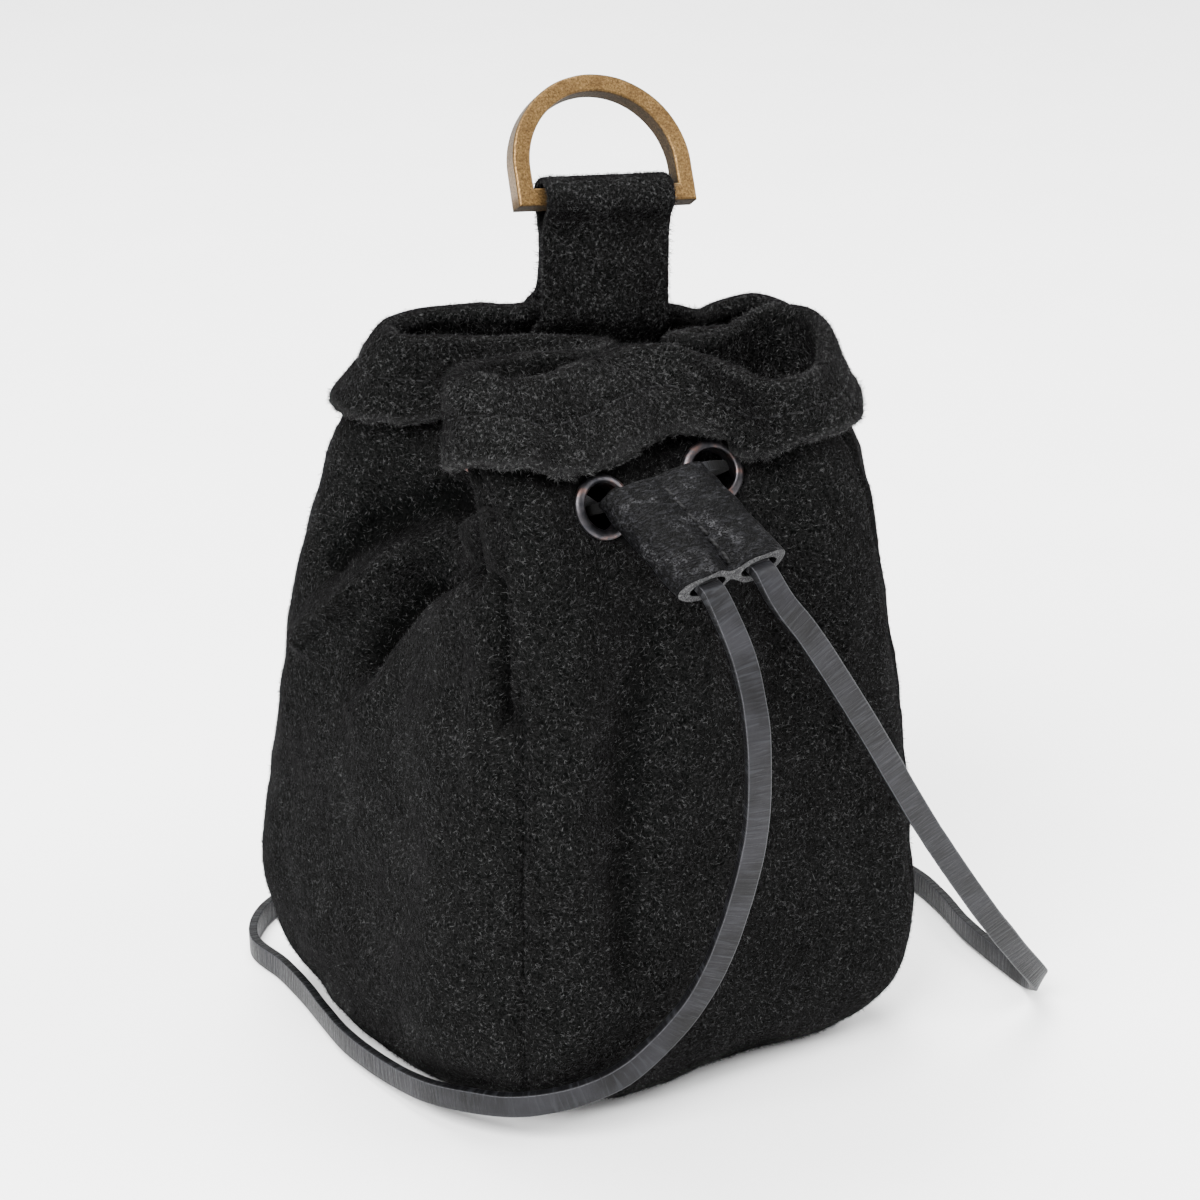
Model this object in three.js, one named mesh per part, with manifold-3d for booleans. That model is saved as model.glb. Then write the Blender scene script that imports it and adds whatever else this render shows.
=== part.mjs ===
// Drawstring belt pouch of black suede: four walls and a base sewn into a soft box,
// the top turned out as a cuff and cinched into a cross of four lobes, a strap loop
// with a brass D-ring at the back, and a flat lace through eyelets and a slider.
// Millimetres, +Z up, X along the front wall, +Y towards the back.
// The origin is the centre of the base's underside.

import * as THREE from 'three';
import { mergeVertices } from 'three/addons/utils/BufferGeometryUtils.js';
import Module from 'manifold-3d';

const wasm = await Module();
wasm.setup();

// Driving dimensions
const side = 110;             // width of each wall and of the box they make
const height = 153.5;         // floor to the turned top edge
const leather = 1.8;          // suede thickness
const seamGap = 0.3;          // clearance between pieces that touch
const cuffDepth = 19;         // how far the turned edge hangs down outside
const cuffGap = 0.5;          // air between cuff and wall
const cuffFlare = 0.7;        // extra stand-off at the cuff's raw edge

const eyeletHole = 9;         // clear hole
const eyeletFlange = 13;      // outer diameter
const eyeletBarrel = 0.6;     // metal thickness of the barrel
const eyeletLip = 1.0;        // height of each flange
const eyeletSpacing = 33;     // between the two eyelets of the front and of the back
const gussetSpacing = 17;     // between the two eyelets of a gusset, inside its fold
const eyeletDrop = 26;        // below the top edge, measured along the leather

const strapWidth = 28;
const strapLeather = 1.6;
const strapRise = 24.9;         // back rim to the centre of the ring's bar
const strapLean = 8;          // degrees that the strap leans back
const strapTurn = 10;         // degrees that it faces round to the left
const strapTilt = 4;          // degrees that its right edge hangs lower
const strapTuck = 13;         // how far each leg runs down past the rim

const ringInner = 32;         // inside width, for a 32 mm strap
const ringBand = 3.7;         // metal width seen from the front
const ringDepth = 4.7;        // metal thickness front to back
const ringHeight = 27.6;
const ringBevel = 0.5;
const ringLean = 32;          // degrees that the ring lies back
const loopClearance = 0.35;   // between the bar's corners and the strap's loop

const laceWidth = 5;
const laceThickness = 2;

const sliderWidth = 25.5;
const sliderLength = 25;
const sliderThickness = 7;
const sliderWall = 1.6;
const sliderPitch = 12.4;     // between its two channels

const half = side / 2;

// The gathered mouth, once round it from the front left lobe: how far along its wall
// each place lies, its plan position in shares of half the side, and its height in
// shares of the pouch's height.
const mouth = [
  { wall: 'front', along: 0.00, x: -0.665, y: -0.390, up: 1.003 },
  { wall: 'front', along: 0.06, x: -0.665, y: -0.458, up: 1.000 },
  { wall: 'front', along: 0.13, x: -0.618, y: -0.498, up: 0.993 },
  { wall: 'front', along: 0.22, x: -0.520, y: -0.512, up: 0.990 },
  { wall: 'front', along: 0.32, x: -0.390, y: -0.500, up: 0.990 },
  { wall: 'front', along: 0.42, x: -0.178, y: -0.395, up: 0.986 },
  { wall: 'front', along: 0.53, x: 0.054, y: -0.335, up: 0.982 },
  { wall: 'front', along: 0.62, x: 0.205, y: -0.430, up: 0.978 },
  { wall: 'front', along: 0.71, x: 0.267, y: -0.601, up: 0.972 },
  { wall: 'front', along: 0.80, x: 0.305, y: -0.755, up: 0.964 },
  { wall: 'front', along: 0.89, x: 0.420, y: -0.790, up: 0.961 },
  { wall: 'right', along: 0.00, x: 0.612, y: -0.690, up: 0.956 },
  { wall: 'right', along: 0.10, x: 0.770, y: -0.500, up: 0.970 },
  { wall: 'right', along: 0.20, x: 0.830, y: -0.290, up: 0.980 },
  { wall: 'right', along: 0.28, x: 0.775, y: -0.170, up: 0.974 },
  { wall: 'right', along: 0.36, x: 0.635, y: -0.165, up: 0.964 },
  { wall: 'right', along: 0.44, x: 0.459, y: -0.205, up: 0.958 },
  { wall: 'right', along: 0.50, x: 0.350, y: -0.115, up: 0.956 },
  { wall: 'right', along: 0.57, x: 0.430, y: -0.035, up: 0.950 },
  { wall: 'right', along: 0.67, x: 0.600, y: -0.020, up: 0.943 },
  { wall: 'right', along: 0.79, x: 0.765, y: -0.020, up: 0.938 },
  { wall: 'right', along: 0.91, x: 0.920, y: -0.010, up: 0.944 },
  { wall: 'back', along: 0.00, x: 1.000, y: 0.100, up: 0.944 },
  { wall: 'back', along: 0.09, x: 0.950, y: 0.213, up: 0.943 },
  { wall: 'back', along: 0.21, x: 0.800, y: 0.225, up: 0.940 },
  { wall: 'back', along: 0.33, x: 0.610, y: 0.175, up: 0.938 },
  { wall: 'back', along: 0.45, x: 0.370, y: 0.205, up: 0.966 },
  { wall: 'back', along: 0.56, x: 0.115, y: 0.260, up: 0.982 },
  { wall: 'back', along: 0.67, x: -0.090, y: 0.315, up: 0.988 },
  { wall: 'back', along: 0.79, x: -0.240, y: 0.385, up: 0.985 },
  { wall: 'back', along: 0.91, x: -0.410, y: 0.440, up: 0.982 },
  { wall: 'left', along: 0.00, x: -0.545, y: 0.432, up: 0.977 },
  { wall: 'left', along: 0.09, x: -0.575, y: 0.322, up: 0.974 },
  { wall: 'left', along: 0.19, x: -0.450, y: 0.245, up: 0.971 },
  { wall: 'left', along: 0.28, x: -0.277, y: 0.205, up: 0.964 },
  { wall: 'left', along: 0.38, x: -0.103, y: 0.130, up: 0.961 },
  { wall: 'left', along: 0.46, x: 0.060, y: 0.010, up: 0.958 },
  { wall: 'left', along: 0.50, x: 0.095, y: -0.085, up: 0.958 },
  { wall: 'left', along: 0.55, x: 0.015, y: -0.165, up: 0.964 },
  { wall: 'left', along: 0.64, x: -0.137, y: -0.178, up: 0.971 },
  { wall: 'left', along: 0.76, x: -0.307, y: -0.183, up: 0.980 },
  { wall: 'left', along: 0.88, x: -0.460, y: -0.223, up: 0.990 },
  { wall: 'left', along: 0.95, x: -0.590, y: -0.300, up: 1.000 },
];

// How the walls leave the box shape on their way up to the mouth: the share of the
// height where a wall starts to lean in, how much of the lean is even, and how late
// the rest of it comes.
const leaning = [
  { turn: 0.0, start: 0.58, even: 0.35, late: 3.2 },   // front left seam
  { turn: 0.5, start: 0.42, even: 0.15, late: 3.4 },   // middle of the front
  { turn: 1.0, start: 0.38, even: 0.45, late: 4.5 },   // front right seam
  { turn: 1.5, start: 0.42, even: 0.25, late: 2.4 },   // middle of the right gusset
  { turn: 2.0, start: 0.38, even: 0.40, late: 5.0 },   // back right seam
  { turn: 2.5, start: 0.40, even: 0.25, late: 2.4 },   // middle of the back
  { turn: 3.0, start: 0.28, even: 0.55, late: 5.5 },   // back left seam
  { turn: 3.5, start: 0.46, even: 0.45, late: 1.9 },   // middle of the left gusset
];

// The stuffed box from the floor up: half width, corner radius and how far the side
// walls belly out at the foot, in shares of half.
const levels = [
  { up: 0.000, width: 0.720, corner: 0.52, belly: 0.075 },
  { up: 0.006, width: 0.782, corner: 0.50, belly: 0.075 },
  { up: 0.018, width: 0.842, corner: 0.48, belly: 0.070 },
  { up: 0.040, width: 0.900, corner: 0.46, belly: 0.062 },
  { up: 0.070, width: 0.948, corner: 0.44, belly: 0.048 },
  { up: 0.110, width: 0.982, corner: 0.42, belly: 0.030 },
  { up: 0.160, width: 1.000, corner: 0.41, belly: 0.015 },
  { up: 0.260, width: 0.984, corner: 0.40, belly: 0.000 },
  { up: 0.420, width: 0.962, corner: 0.38, belly: 0.000 },
  { up: 0.650, width: 0.936, corner: 0.34, belly: 0.000 },
  { up: 1.000, width: 0.905, corner: 0.32, belly: 0.000 },
];

// Folds that the cinching throws in the walls, each along a line on the wall: places
// round the pouch and heights as shares, push outwards in shares of half.
const folds = [
  { from: 0.00, fromUp: 0.93, to: 0.00, toUp: 0.80, push: 0.110, breadth: 0.110 },
  { from: 3.52, fromUp: 0.86, to: 3.10, toUp: 0.60, push: 0.055, breadth: 0.075 },
  { from: 3.62, fromUp: 0.88, to: 3.30, toUp: 0.72, push: -0.050, breadth: 0.060 },
  { from: 3.88, fromUp: 0.80, to: 3.86, toUp: 0.62, push: -0.075, breadth: 0.060 },
  { from: 0.30, fromUp: 0.74, to: 0.55, toUp: 0.50, push: 0.018, breadth: 0.120 },
  { from: 0.78, fromUp: 0.78, to: 0.70, toUp: 0.45, push: -0.022, breadth: 0.100 },
];

const wallNames = ['front', 'right', 'back', 'left'];
const cornerSoftness = [1.15, 0.52, 0.80, 0.90];   // front left, front right, back right, back left
const wallBelly = [0, 0.6, 0, 1];                  // front, right, back, left
const seamShift = 0.045;      // the front left seam sits this share round onto the front

const stations = mouth.map((row) => ({ ...row, turn: wallNames.indexOf(row.wall) + row.along }));

function blend(a, b, t) {
  return a + (b - a) * t;
}

function smoothstep(low, high, value) {
  const t = Math.min(Math.max((value - low) / (high - low), 0), 1);
  return t * t * (3 - 2 * t);
}

// Cubic interpolation in a table whose rows run along `key`; `loop` closes it after that length.
function lookUp(rows, key, name, value, loop = 0) {
  const count = rows.length;
  const row = (i) => rows[loop ? (i + count) % count : Math.min(Math.max(i, 0), count - 1)];
  const place = (i) => row(i)[key] + (loop ? Math.floor(i / count) * loop : 0);
  const at = loop ? ((value % loop) + loop) % loop : value;
  let i = 0;
  while (i < count - (loop ? 1 : 2) && place(i + 1) <= at) i += 1;
  const span = place(i + 1) - place(i);
  const t = Math.min(Math.max((at - place(i)) / span, 0), 1);
  const slope = (k) => {
    const run = place(k + 1) - place(k - 1);
    return run > 0 ? (row(k + 1)[name] - row(k - 1)[name]) / run : 0;
  };
  const a = row(i)[name];
  const b = row(i + 1)[name];
  const t2 = t * t;
  const t3 = t2 * t;
  return (2 * t3 - 3 * t2 + 1) * a + (t3 - 2 * t2 + t) * span * slope(i)
    + (3 * t2 - 2 * t3) * b + (t3 - t2) * span * slope(i + 1);
}

// A point round the box at one level, from the front left corner, as shares of half.
function boxPoint(turn, width, corner, belly) {
  const wrapped = ((turn % 4) + 4) % 4;
  const index = Math.floor(wrapped);
  const shift = seamShift * (index === 0 ? 1 - (wrapped - index) : index === 3 ? wrapped - index : 0);
  const along = wrapped - index + shift;
  const first = corner * cornerSoftness[index];
  const second = corner * cornerSoftness[(index + 1) % 4];
  const arcA = first * Math.PI / 4;
  const arcB = second * Math.PI / 4;
  const straight = 2 * width - first - second;
  const run = along * (arcA + straight + arcB);
  let x;
  let y;
  if (run < arcA) {
    const angle = Math.PI / 4 - run / first;
    x = -width + first - first * Math.sin(angle);
    y = -width + first - first * Math.cos(angle);
  } else if (run < arcA + straight) {
    x = -width + first + run - arcA;
    y = -width;
  } else {
    const angle = (run - arcA - straight) / second;
    x = width - second + second * Math.sin(angle);
    y = -width + second - second * Math.cos(angle);
  }
  y -= belly * wallBelly[index] * Math.sin(Math.PI * Math.min(along, 1)) ** 2;
  const quarter = index * Math.PI / 2;
  return [x * Math.cos(quarter) - y * Math.sin(quarter), x * Math.sin(quarter) + y * Math.cos(quarter)];
}

// Starts a straight lean softly.
function smoothLean(lean) {
  const soft = 0.16;
  return lean < soft ? lean * lean / (2 * soft) / (1 - soft / 2) : (lean - soft / 2) / (1 - soft / 2);
}

// The outer surface before eyelets and strap press it flat.
function softPoint(turn, up) {
  const start = lookUp(leaning, 'turn', 'start', turn, 4);
  const late = lookUp(leaning, 'turn', 'late', turn, 4);
  const even = lookUp(leaning, 'turn', 'even', turn, 4);
  const lean = Math.max((up - start) / (1 - start), 0);
  const share = even * smoothLean(lean) + (1 - even) * lean ** late;
  const level = (name) => lookUp(levels, 'up', name, up);
  const [boxX, boxY] = boxPoint(turn, level('width'), level('corner'), level('belly'));
  const x = blend(boxX, lookUp(stations, 'turn', 'x', turn, 4), share);
  const y = blend(boxY, lookUp(stations, 'turn', 'y', turn, 4), share);
  const z = height * up * lookUp(stations, 'turn', 'up', turn, 4);
  return new THREE.Vector3(x * half, y * half, z);
}

function foldPush(turn, up) {
  let push = 0;
  for (const fold of folds) {
    const dx = fold.to - fold.from;
    const dy = fold.toUp - fold.fromUp;
    let relX = turn - fold.from;
    relX -= 4 * Math.round(relX / 4);
    const relY = up - fold.fromUp;
    const along = Math.min(Math.max((relX * dx + relY * dy) / (dx * dx + dy * dy), 0), 1);
    const away = Math.hypot(relX - along * dx, relY - along * dy) / fold.breadth;
    push += fold.push * half * Math.exp(-away * away) * (1 - 0.5 * along);
  }
  return push;
}

function normalOf(surface, turn, down, stepTurn, stepDown) {
  const alongU = surface(turn + stepTurn, down).sub(surface(turn - stepTurn, down));
  const alongV = surface(turn, down + stepDown).sub(surface(turn, Math.max(down - stepDown, 0)));
  return new THREE.Vector3().crossVectors(alongV, alongU).normalize();
}

function foldedPoint(turn, up) {
  const point = softPoint(turn, up);
  const push = foldPush(turn, up);
  if (Math.abs(push) < 0.02) return point;
  const across = softPoint(turn + 0.02, up).sub(softPoint(turn - 0.02, up));
  const upward = softPoint(turn, Math.min(up + 0.02, 1)).sub(softPoint(turn, up - 0.02));
  return point.addScaledVector(across.cross(upward).normalize(), push);
}

// Each column of the wall is measured from the top edge down, along the leather.
const columnSteps = 64;
const columns = new Map();

function column(turn) {
  const key = Math.round(turn * 1e5);
  if (!columns.has(key)) {
    const ups = [];
    const lengths = [];
    let length = 0;
    let last = null;
    for (let i = 0; i <= columnSteps; i += 1) {
      const up = 1 - i / columnSteps;
      const point = foldedPoint(turn, up);
      if (last) length += point.distanceTo(last);
      last = point;
      ups.push(up);
      lengths.push(length);
    }
    columns.set(key, { ups, lengths, length });
  }
  return columns.get(key);
}

function measuredPoint(turn, down) {
  const { ups, lengths, length } = column(turn);
  const target = Math.min(Math.max(down, 0), length);
  let i = 0;
  while (i < columnSteps - 1 && lengths[i + 1] < target) i += 1;
  const t = (target - lengths[i]) / (lengths[i + 1] - lengths[i]);
  return foldedPoint(turn, blend(ups[i], ups[i + 1], t));
}

// Places pressed flat: under the strap at the back rim, and under each eyelet.
const radians = (degrees) => degrees * Math.PI / 180;
const strapAcross = new THREE.Vector3(Math.cos(radians(strapTurn)), -Math.sin(radians(strapTurn)),
  -Math.tan(radians(strapTilt))).normalize();
const strapSpot = { turn: 2.50, down: strapTuck / 2 };
strapSpot.before = strapWidth / 2 + 2;
strapSpot.after = strapSpot.before;
strapSpot.above = strapTuck / 2 + 2;
strapSpot.below = cuffDepth - strapTuck / 2 + 2;
strapSpot.fade = 12;
strapSpot.centre = measuredPoint(strapSpot.turn, strapSpot.down);
strapSpot.normal = normalOf(measuredPoint, strapSpot.turn, strapSpot.down, 0.05, 5);
strapSpot.normal.addScaledVector(strapAcross, -strapSpot.normal.dot(strapAcross)).normalize();

function press(point, turn, down, spot) {
  let across = turn - spot.turn;
  across = (across - 4 * Math.round(across / 4)) * side;
  const under = down - spot.down;
  const wide = across < 0 ? spot.before : spot.after;
  const tall = under < 0 ? spot.above : spot.below;
  const weight = (1 - smoothstep(wide, wide + spot.fade, Math.abs(across)))
    * (1 - smoothstep(tall, tall + spot.fade, Math.abs(under)));
  if (weight === 0) return point;
  const off = point.clone().sub(spot.centre).dot(spot.normal);
  return point.addScaledVector(spot.normal, -off * weight);
}

const strapPoint = (turn, down) => press(measuredPoint(turn, down), turn, down, strapSpot);

const eyeletReach = eyeletFlange / 2 + 0.9;
const eyeletMiddle = { front: 0.425, right: 0.5, back: 0.49, left: 0.5 };   // of each pair, along its wall
const eyeletSpots = [];
for (const [index, wall] of wallNames.entries()) {
  const spacing = index % 2 ? gussetSpacing : eyeletSpacing;
  for (const [name, sign] of [['a', -1], ['b', 1]]) {
    const turn = index + eyeletMiddle[wall] + sign * spacing / 2 / side;
    const spot = { wall, name, turn, down: eyeletDrop, fade: index % 2 ? 1 : 4 };
    spot.centre = strapPoint(turn, spot.down);
    spot.normal = normalOf(strapPoint, turn, spot.down, 0.05, 5);
    // How far the flat spot goes along the leather until it is clear of the flange.
    const reach = (stepTurn, stepDown) => {
      const most = stepTurn * sign < 0 ? spacing / 2 - 0.4 : 2 * eyeletReach;
      for (let length = eyeletReach / 2; ; length += 0.2) {
        const nearest = Math.min(...[-1, -0.5, 0, 0.5, 1].map((k) => {
          const away = strapPoint(turn + (stepTurn * length + stepDown * k * eyeletReach) / side,
            spot.down + stepDown * length + stepTurn * k * eyeletReach).sub(spot.centre);
          return away.addScaledVector(spot.normal, -away.dot(spot.normal)).length();
        }));
        if (nearest > eyeletReach || length > most) return Math.min(length, most);
      }
    };
    spot.before = reach(-1, 0);
    spot.after = reach(1, 0);
    spot.above = reach(0, -1);
    spot.below = reach(0, 1);
    eyeletSpots.push(spot);
  }
}

function wallPoint(turn, down) {
  return eyeletSpots.reduce((point, spot) => press(point, turn, down, spot), strapPoint(turn, down));
}

const wallNormal = (turn, down) => normalOf(wallPoint, turn, down, 0.006, 0.8);

// A closed body from rows of points of equal length: both faces, both edges, both ends.
function bandGeometry(outside, inside) {
  const rows = outside.length;
  const across = outside[0].length;
  const vertices = [];
  for (const face of [outside, inside]) {
    for (const row of face) for (const p of row) vertices.push(p.x, p.y, p.z);
  }
  const index = (face, i, j) => (face * rows + i) * across + j;
  const triangles = [];
  const quad = (a, b, c, d) => triangles.push(a, c, b, a, d, c);
  for (let i = 0; i < rows - 1; i += 1) {
    for (let j = 0; j < across - 1; j += 1) {
      quad(index(0, i, j), index(0, i, j + 1), index(0, i + 1, j + 1), index(0, i + 1, j));
      quad(index(1, i, j), index(1, i + 1, j), index(1, i + 1, j + 1), index(1, i, j + 1));
    }
    quad(index(0, i, 0), index(0, i + 1, 0), index(1, i + 1, 0), index(1, i, 0));
    quad(index(0, i, across - 1), index(1, i, across - 1), index(1, i + 1, across - 1), index(0, i + 1, across - 1));
  }
  for (let j = 0; j < across - 1; j += 1) {
    quad(index(0, 0, j), index(1, 0, j), index(1, 0, j + 1), index(0, 0, j + 1));
    quad(index(0, rows - 1, j), index(0, rows - 1, j + 1), index(1, rows - 1, j + 1), index(1, rows - 1, j));
  }
  const geometry = new THREE.BufferGeometry();
  geometry.setAttribute('position', new THREE.Float32BufferAttribute(vertices, 3));
  geometry.setIndex(triangles);
  return geometry;
}

function toManifold(geometry) {
  const bare = geometry.clone();
  bare.deleteAttribute('normal');
  bare.deleteAttribute('uv');
  const merged = mergeVertices(bare, 1e-4);
  return new wasm.Manifold(new wasm.Mesh({
    numProp: 3,
    vertProperties: new Float32Array(merged.attributes.position.array),
    triVerts: new Uint32Array(merged.index.array),
  }));
}

function fromManifold(solid) {
  const mesh = solid.getMesh();
  const geometry = new THREE.BufferGeometry();
  geometry.setAttribute('position', new THREE.BufferAttribute(new Float32Array(mesh.vertProperties), 3));
  geometry.setIndex(new THREE.BufferAttribute(new Uint32Array(mesh.triVerts), 1));
  return geometry;
}

// Where a wall's columns stand, as distances from its first seam, with one at each
// side of every eyelet so that the flat spot under it stays flat.
function wallColumns(index) {
  const near = eyeletSpots.filter((spot) => spot.wall === wallNames[index])
    .flatMap((spot) => [-spot.before, 0, spot.after].map((offset) => (spot.turn - index) * side + offset));
  const middle = (near[2] + near[3]) / 2;
  const steps = 4;
  const left = Array.from({ length: steps }, (_, i) => blend(seamGap / 2, near[0], i / steps));
  const right = Array.from({ length: steps }, (_, i) => blend(side - seamGap / 2, near[5], i / steps)).reverse();
  return [...left, ...near.slice(0, 3), middle, ...near.slice(3), ...right];
}

const upperRows = [0, 0.33, 0.66, 1].map((share) => share * (eyeletDrop - eyeletReach - 0.6));
upperRows.push(eyeletDrop, eyeletDrop + eyeletReach + 1);
const lowerRows = [0.11, 0.25, 0.40, 0.56, 0.71, 0.82, 0.90, 0.955, 1];
const cuffRows = [0.33, 0.66, 1];
const rollAngles = [0, 45, 90, 135, 180].map((degrees) => degrees * Math.PI / 180);

// Where a wall ends beside a seam, so that the inside faces of both walls keep their clearance.
function seamEdge(seam, sign, down) {
  const step = 0.004;
  const insidePoint = (turn) => wallPoint(turn, down).addScaledVector(wallNormal(turn, down), -leather);
  const speed = insidePoint(seam + step).distanceTo(insidePoint(seam - step)) / (2 * step);
  return seam + sign * seamGap * 0.7 / Math.max(speed, side * 0.12);
}

// One wall with its turned cuff: up the wall, over the rim and down outside.
function wallGeometry(index) {
  const outside = [];
  const inside = [];
  const inner = wallColumns(index).slice(1, -1).map((distance) => index + distance / side);
  const placesAt = (down) => [seamEdge(index, 1, down), ...inner, seamEdge(index + 1, -1, down)];
  const rowDowns = (turn) => {
    const last = upperRows[upperRows.length - 1];
    const rest = column(turn).length - last;
    return [...upperRows, ...lowerRows.map((share) => last + share * rest)];
  };
  const rowCount = upperRows.length + lowerRows.length;
  for (let row = rowCount - 1; row > 0; row -= 1) {
    const faceRow = [];
    const backRow = [];
    const places = placesAt(rowDowns(index + 0.01)[row]);
    for (const turn of places) {
      const down = rowDowns(turn)[row];
      const point = wallPoint(turn, down);
      const normal = row === rowCount - 1 ? new THREE.Vector3(0, 0, -1) : wallNormal(turn, down);
      faceRow.push(point);
      backRow.push(point.clone().addScaledVector(normal, -leather));
    }
    inside.push(faceRow);
    outside.push(backRow);
  }
  for (const angle of rollAngles) {
    const faceRow = [];
    const backRow = [];
    for (const turn of placesAt(0.8)) {
      const normal = wallNormal(turn, 0.8);
      const upward = wallPoint(turn, 0).sub(wallPoint(turn, 3)).normalize();
      const centre = wallPoint(turn, 0).addScaledVector(normal, cuffGap / 2);
      const ray = normal.clone().multiplyScalar(-Math.cos(angle)).addScaledVector(upward, Math.sin(angle));
      faceRow.push(centre.clone().addScaledVector(ray, cuffGap / 2));
      backRow.push(centre.clone().addScaledVector(ray, cuffGap / 2 + leather));
    }
    inside.push(faceRow);
    outside.push(backRow);
  }
  for (const share of cuffRows) {
    const faceRow = [];
    const backRow = [];
    for (const turn of placesAt(share * cuffDepth)) {
      const down = share * cuffDepth;
      const stand = cuffGap + cuffFlare * share * share;
      const normal = wallNormal(turn, down);
      faceRow.push(wallPoint(turn, down).addScaledVector(normal, stand));
      backRow.push(wallPoint(turn, down).addScaledVector(normal, stand + leather));
    }
    inside.push(faceRow);
    outside.push(backRow);
  }
  return bandGeometry(outside, inside);
}

// Turns Y towards a direction, with X kept near a second one, and moves to a place.
function placed(centre, yAxis, nearX) {
  const y = yAxis.clone().normalize();
  const z = new THREE.Vector3().crossVectors(nearX, y).normalize();
  const x = new THREE.Vector3().crossVectors(y, z);
  return new THREE.Matrix4().makeBasis(x, y, z).setPosition(centre);
}

function eyeletMatrix(spot) {
  return placed(spot.centre, spot.normal, new THREE.Vector3(0, 0, 1));
}

const eyeletSegments = 10;

function eyeletGeometry() {
  const hole = eyeletHole / 2;
  const flange = eyeletFlange / 2;
  const barrel = hole + eyeletBarrel;
  const front = seamGap;
  const back = -leather - seamGap;
  const profile = [
    [hole, back - eyeletLip * 0.6], [flange, back - eyeletLip * 0.6], [flange, back], [barrel, back],
    [barrel, front], [flange, front], [blend(hole, flange, 0.6), front + eyeletLip],
    [hole, front + eyeletLip * 0.5], [hole, back - eyeletLip * 0.6],
  ].map(([r, y]) => new THREE.Vector2(r, y));
  return new THREE.LatheGeometry(profile, eyeletSegments);
}

// The strap: one strip from outside the back rim, up, round the ring's bar and down inside.
const strapNormal = strapSpot.normal.clone();
const rimPlace = wallPoint(strapSpot.turn, 0);
const backward = new THREE.Vector3().crossVectors(new THREE.Vector3(0, 0, 1), strapAcross).normalize();
const sideways = (degrees) => new THREE.Vector3(0, 0, Math.cos(radians(degrees)))
  .addScaledVector(backward, Math.sin(radians(degrees)));
const strapUp = sideways(strapLean);
strapUp.addScaledVector(strapAcross, -strapUp.dot(strapAcross)).normalize();
const strapOut = new THREE.Vector3().crossVectors(strapAcross, strapUp).negate().normalize();
const barCentre = rimPlace.clone().addScaledVector(strapUp, strapRise)
  .addScaledVector(strapNormal, -leather - 1.5 * seamGap);
const barCorner = Math.hypot(ringDepth / 2, ringBand / 2 - ringBevel);
const loopRadius = barCorner + loopClearance + strapLeather / 2;

function strapGeometry(clearance = 0) {
  const insideLeg = -(leather + 2 * seamGap + strapLeather / 2);
  const outsideLeg = cuffGap + cuffFlare + leather + seamGap + strapLeather / 2;
  const down = wallPoint(strapSpot.turn, strapTuck).sub(rimPlace).normalize();
  const legPoint = (offset, along) => rimPlace.clone().addScaledVector(strapNormal, offset)
    .addScaledVector(down, along);
  const neck = strapLeather / 2 + seamGap / 2;
  const rimRoll = leather + cuffGap / 2 + 1;
  const neckPoint = (offset, share) => barCentre.clone().addScaledVector(strapUp, -strapRise * share)
    .addScaledVector(strapOut, offset);
  const path = [legPoint(outsideLeg, strapTuck), legPoint(outsideLeg, strapTuck * 0.4),
    legPoint(outsideLeg, -rimRoll / 3), neckPoint(neck * 1.5, 0.64), neckPoint(neck, 0.52), neckPoint(neck, 0.3)];
  const turnSteps = 12;
  const open = Math.asin(Math.min(neck / loopRadius, 1));
  for (let i = 0; i <= turnSteps; i += 1) {
    const angle = -Math.PI / 2 + open + (2 * Math.PI - 2 * open) * (i / turnSteps);
    path.push(barCentre.clone().addScaledVector(strapOut, Math.cos(angle) * loopRadius)
      .addScaledVector(strapUp, Math.sin(angle) * loopRadius));
  }
  path.push(neckPoint(-neck, 0.3), neckPoint(-neck, 0.52), neckPoint(-neck, 0.75), neckPoint(-neck, 0.97),
    legPoint(insideLeg, strapTuck * 0.4), legPoint(insideLeg, strapTuck));
  const outside = [];
  const inside = [];
  for (const [i, point] of path.entries()) {
    const before = path[Math.max(i - 1, 0)];
    const after = path[Math.min(i + 1, path.length - 1)];
    const tangent = after.clone().sub(before).normalize();
    const away = new THREE.Vector3().crossVectors(strapAcross, tangent).normalize();
    const row = (offset) => [-0.5, -0.17, 0.17, 0.5].map((k) => point.clone()
      .addScaledVector(away, offset).addScaledVector(strapAcross, k * (strapWidth + 2 * clearance)));
    outside.push(row(-strapLeather / 2 - clearance));
    inside.push(row(strapLeather / 2 + clearance));
  }
  return bandGeometry(outside, inside);
}

function wallWithHoles(index) {
  let solid = toManifold(wallGeometry(index));
  const drillRadius = eyeletHole / 2 + eyeletBarrel + seamGap + 0.1;
  const seatRadius = eyeletFlange / 2 + seamGap;
  const seatDepth = eyeletLip + 2 * seamGap;
  for (const spot of eyeletSpots.filter((entry) => entry.wall === wallNames[index])) {
    // The hole, and the two seats that the flanges press into the leather.
    const cuts = [[drillRadius, leather + 1.2, -leather / 2], [seatRadius, seatDepth, seatDepth / 2],
      [seatRadius, seatDepth, -leather - seatDepth / 2]];
    for (const [radius, depth, middle] of cuts) {
      const cut = new THREE.CylinderGeometry(radius, radius, depth, eyeletSegments);
      cut.translate(0, middle, 0);
      cut.applyMatrix4(eyeletMatrix(spot));
      solid = solid.subtract(toManifold(cut));
    }
  }
  if (wallNames[index] === 'back') solid = solid.subtract(toManifold(strapGeometry(seamGap)));
  return fromManifold(solid);
}

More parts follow.
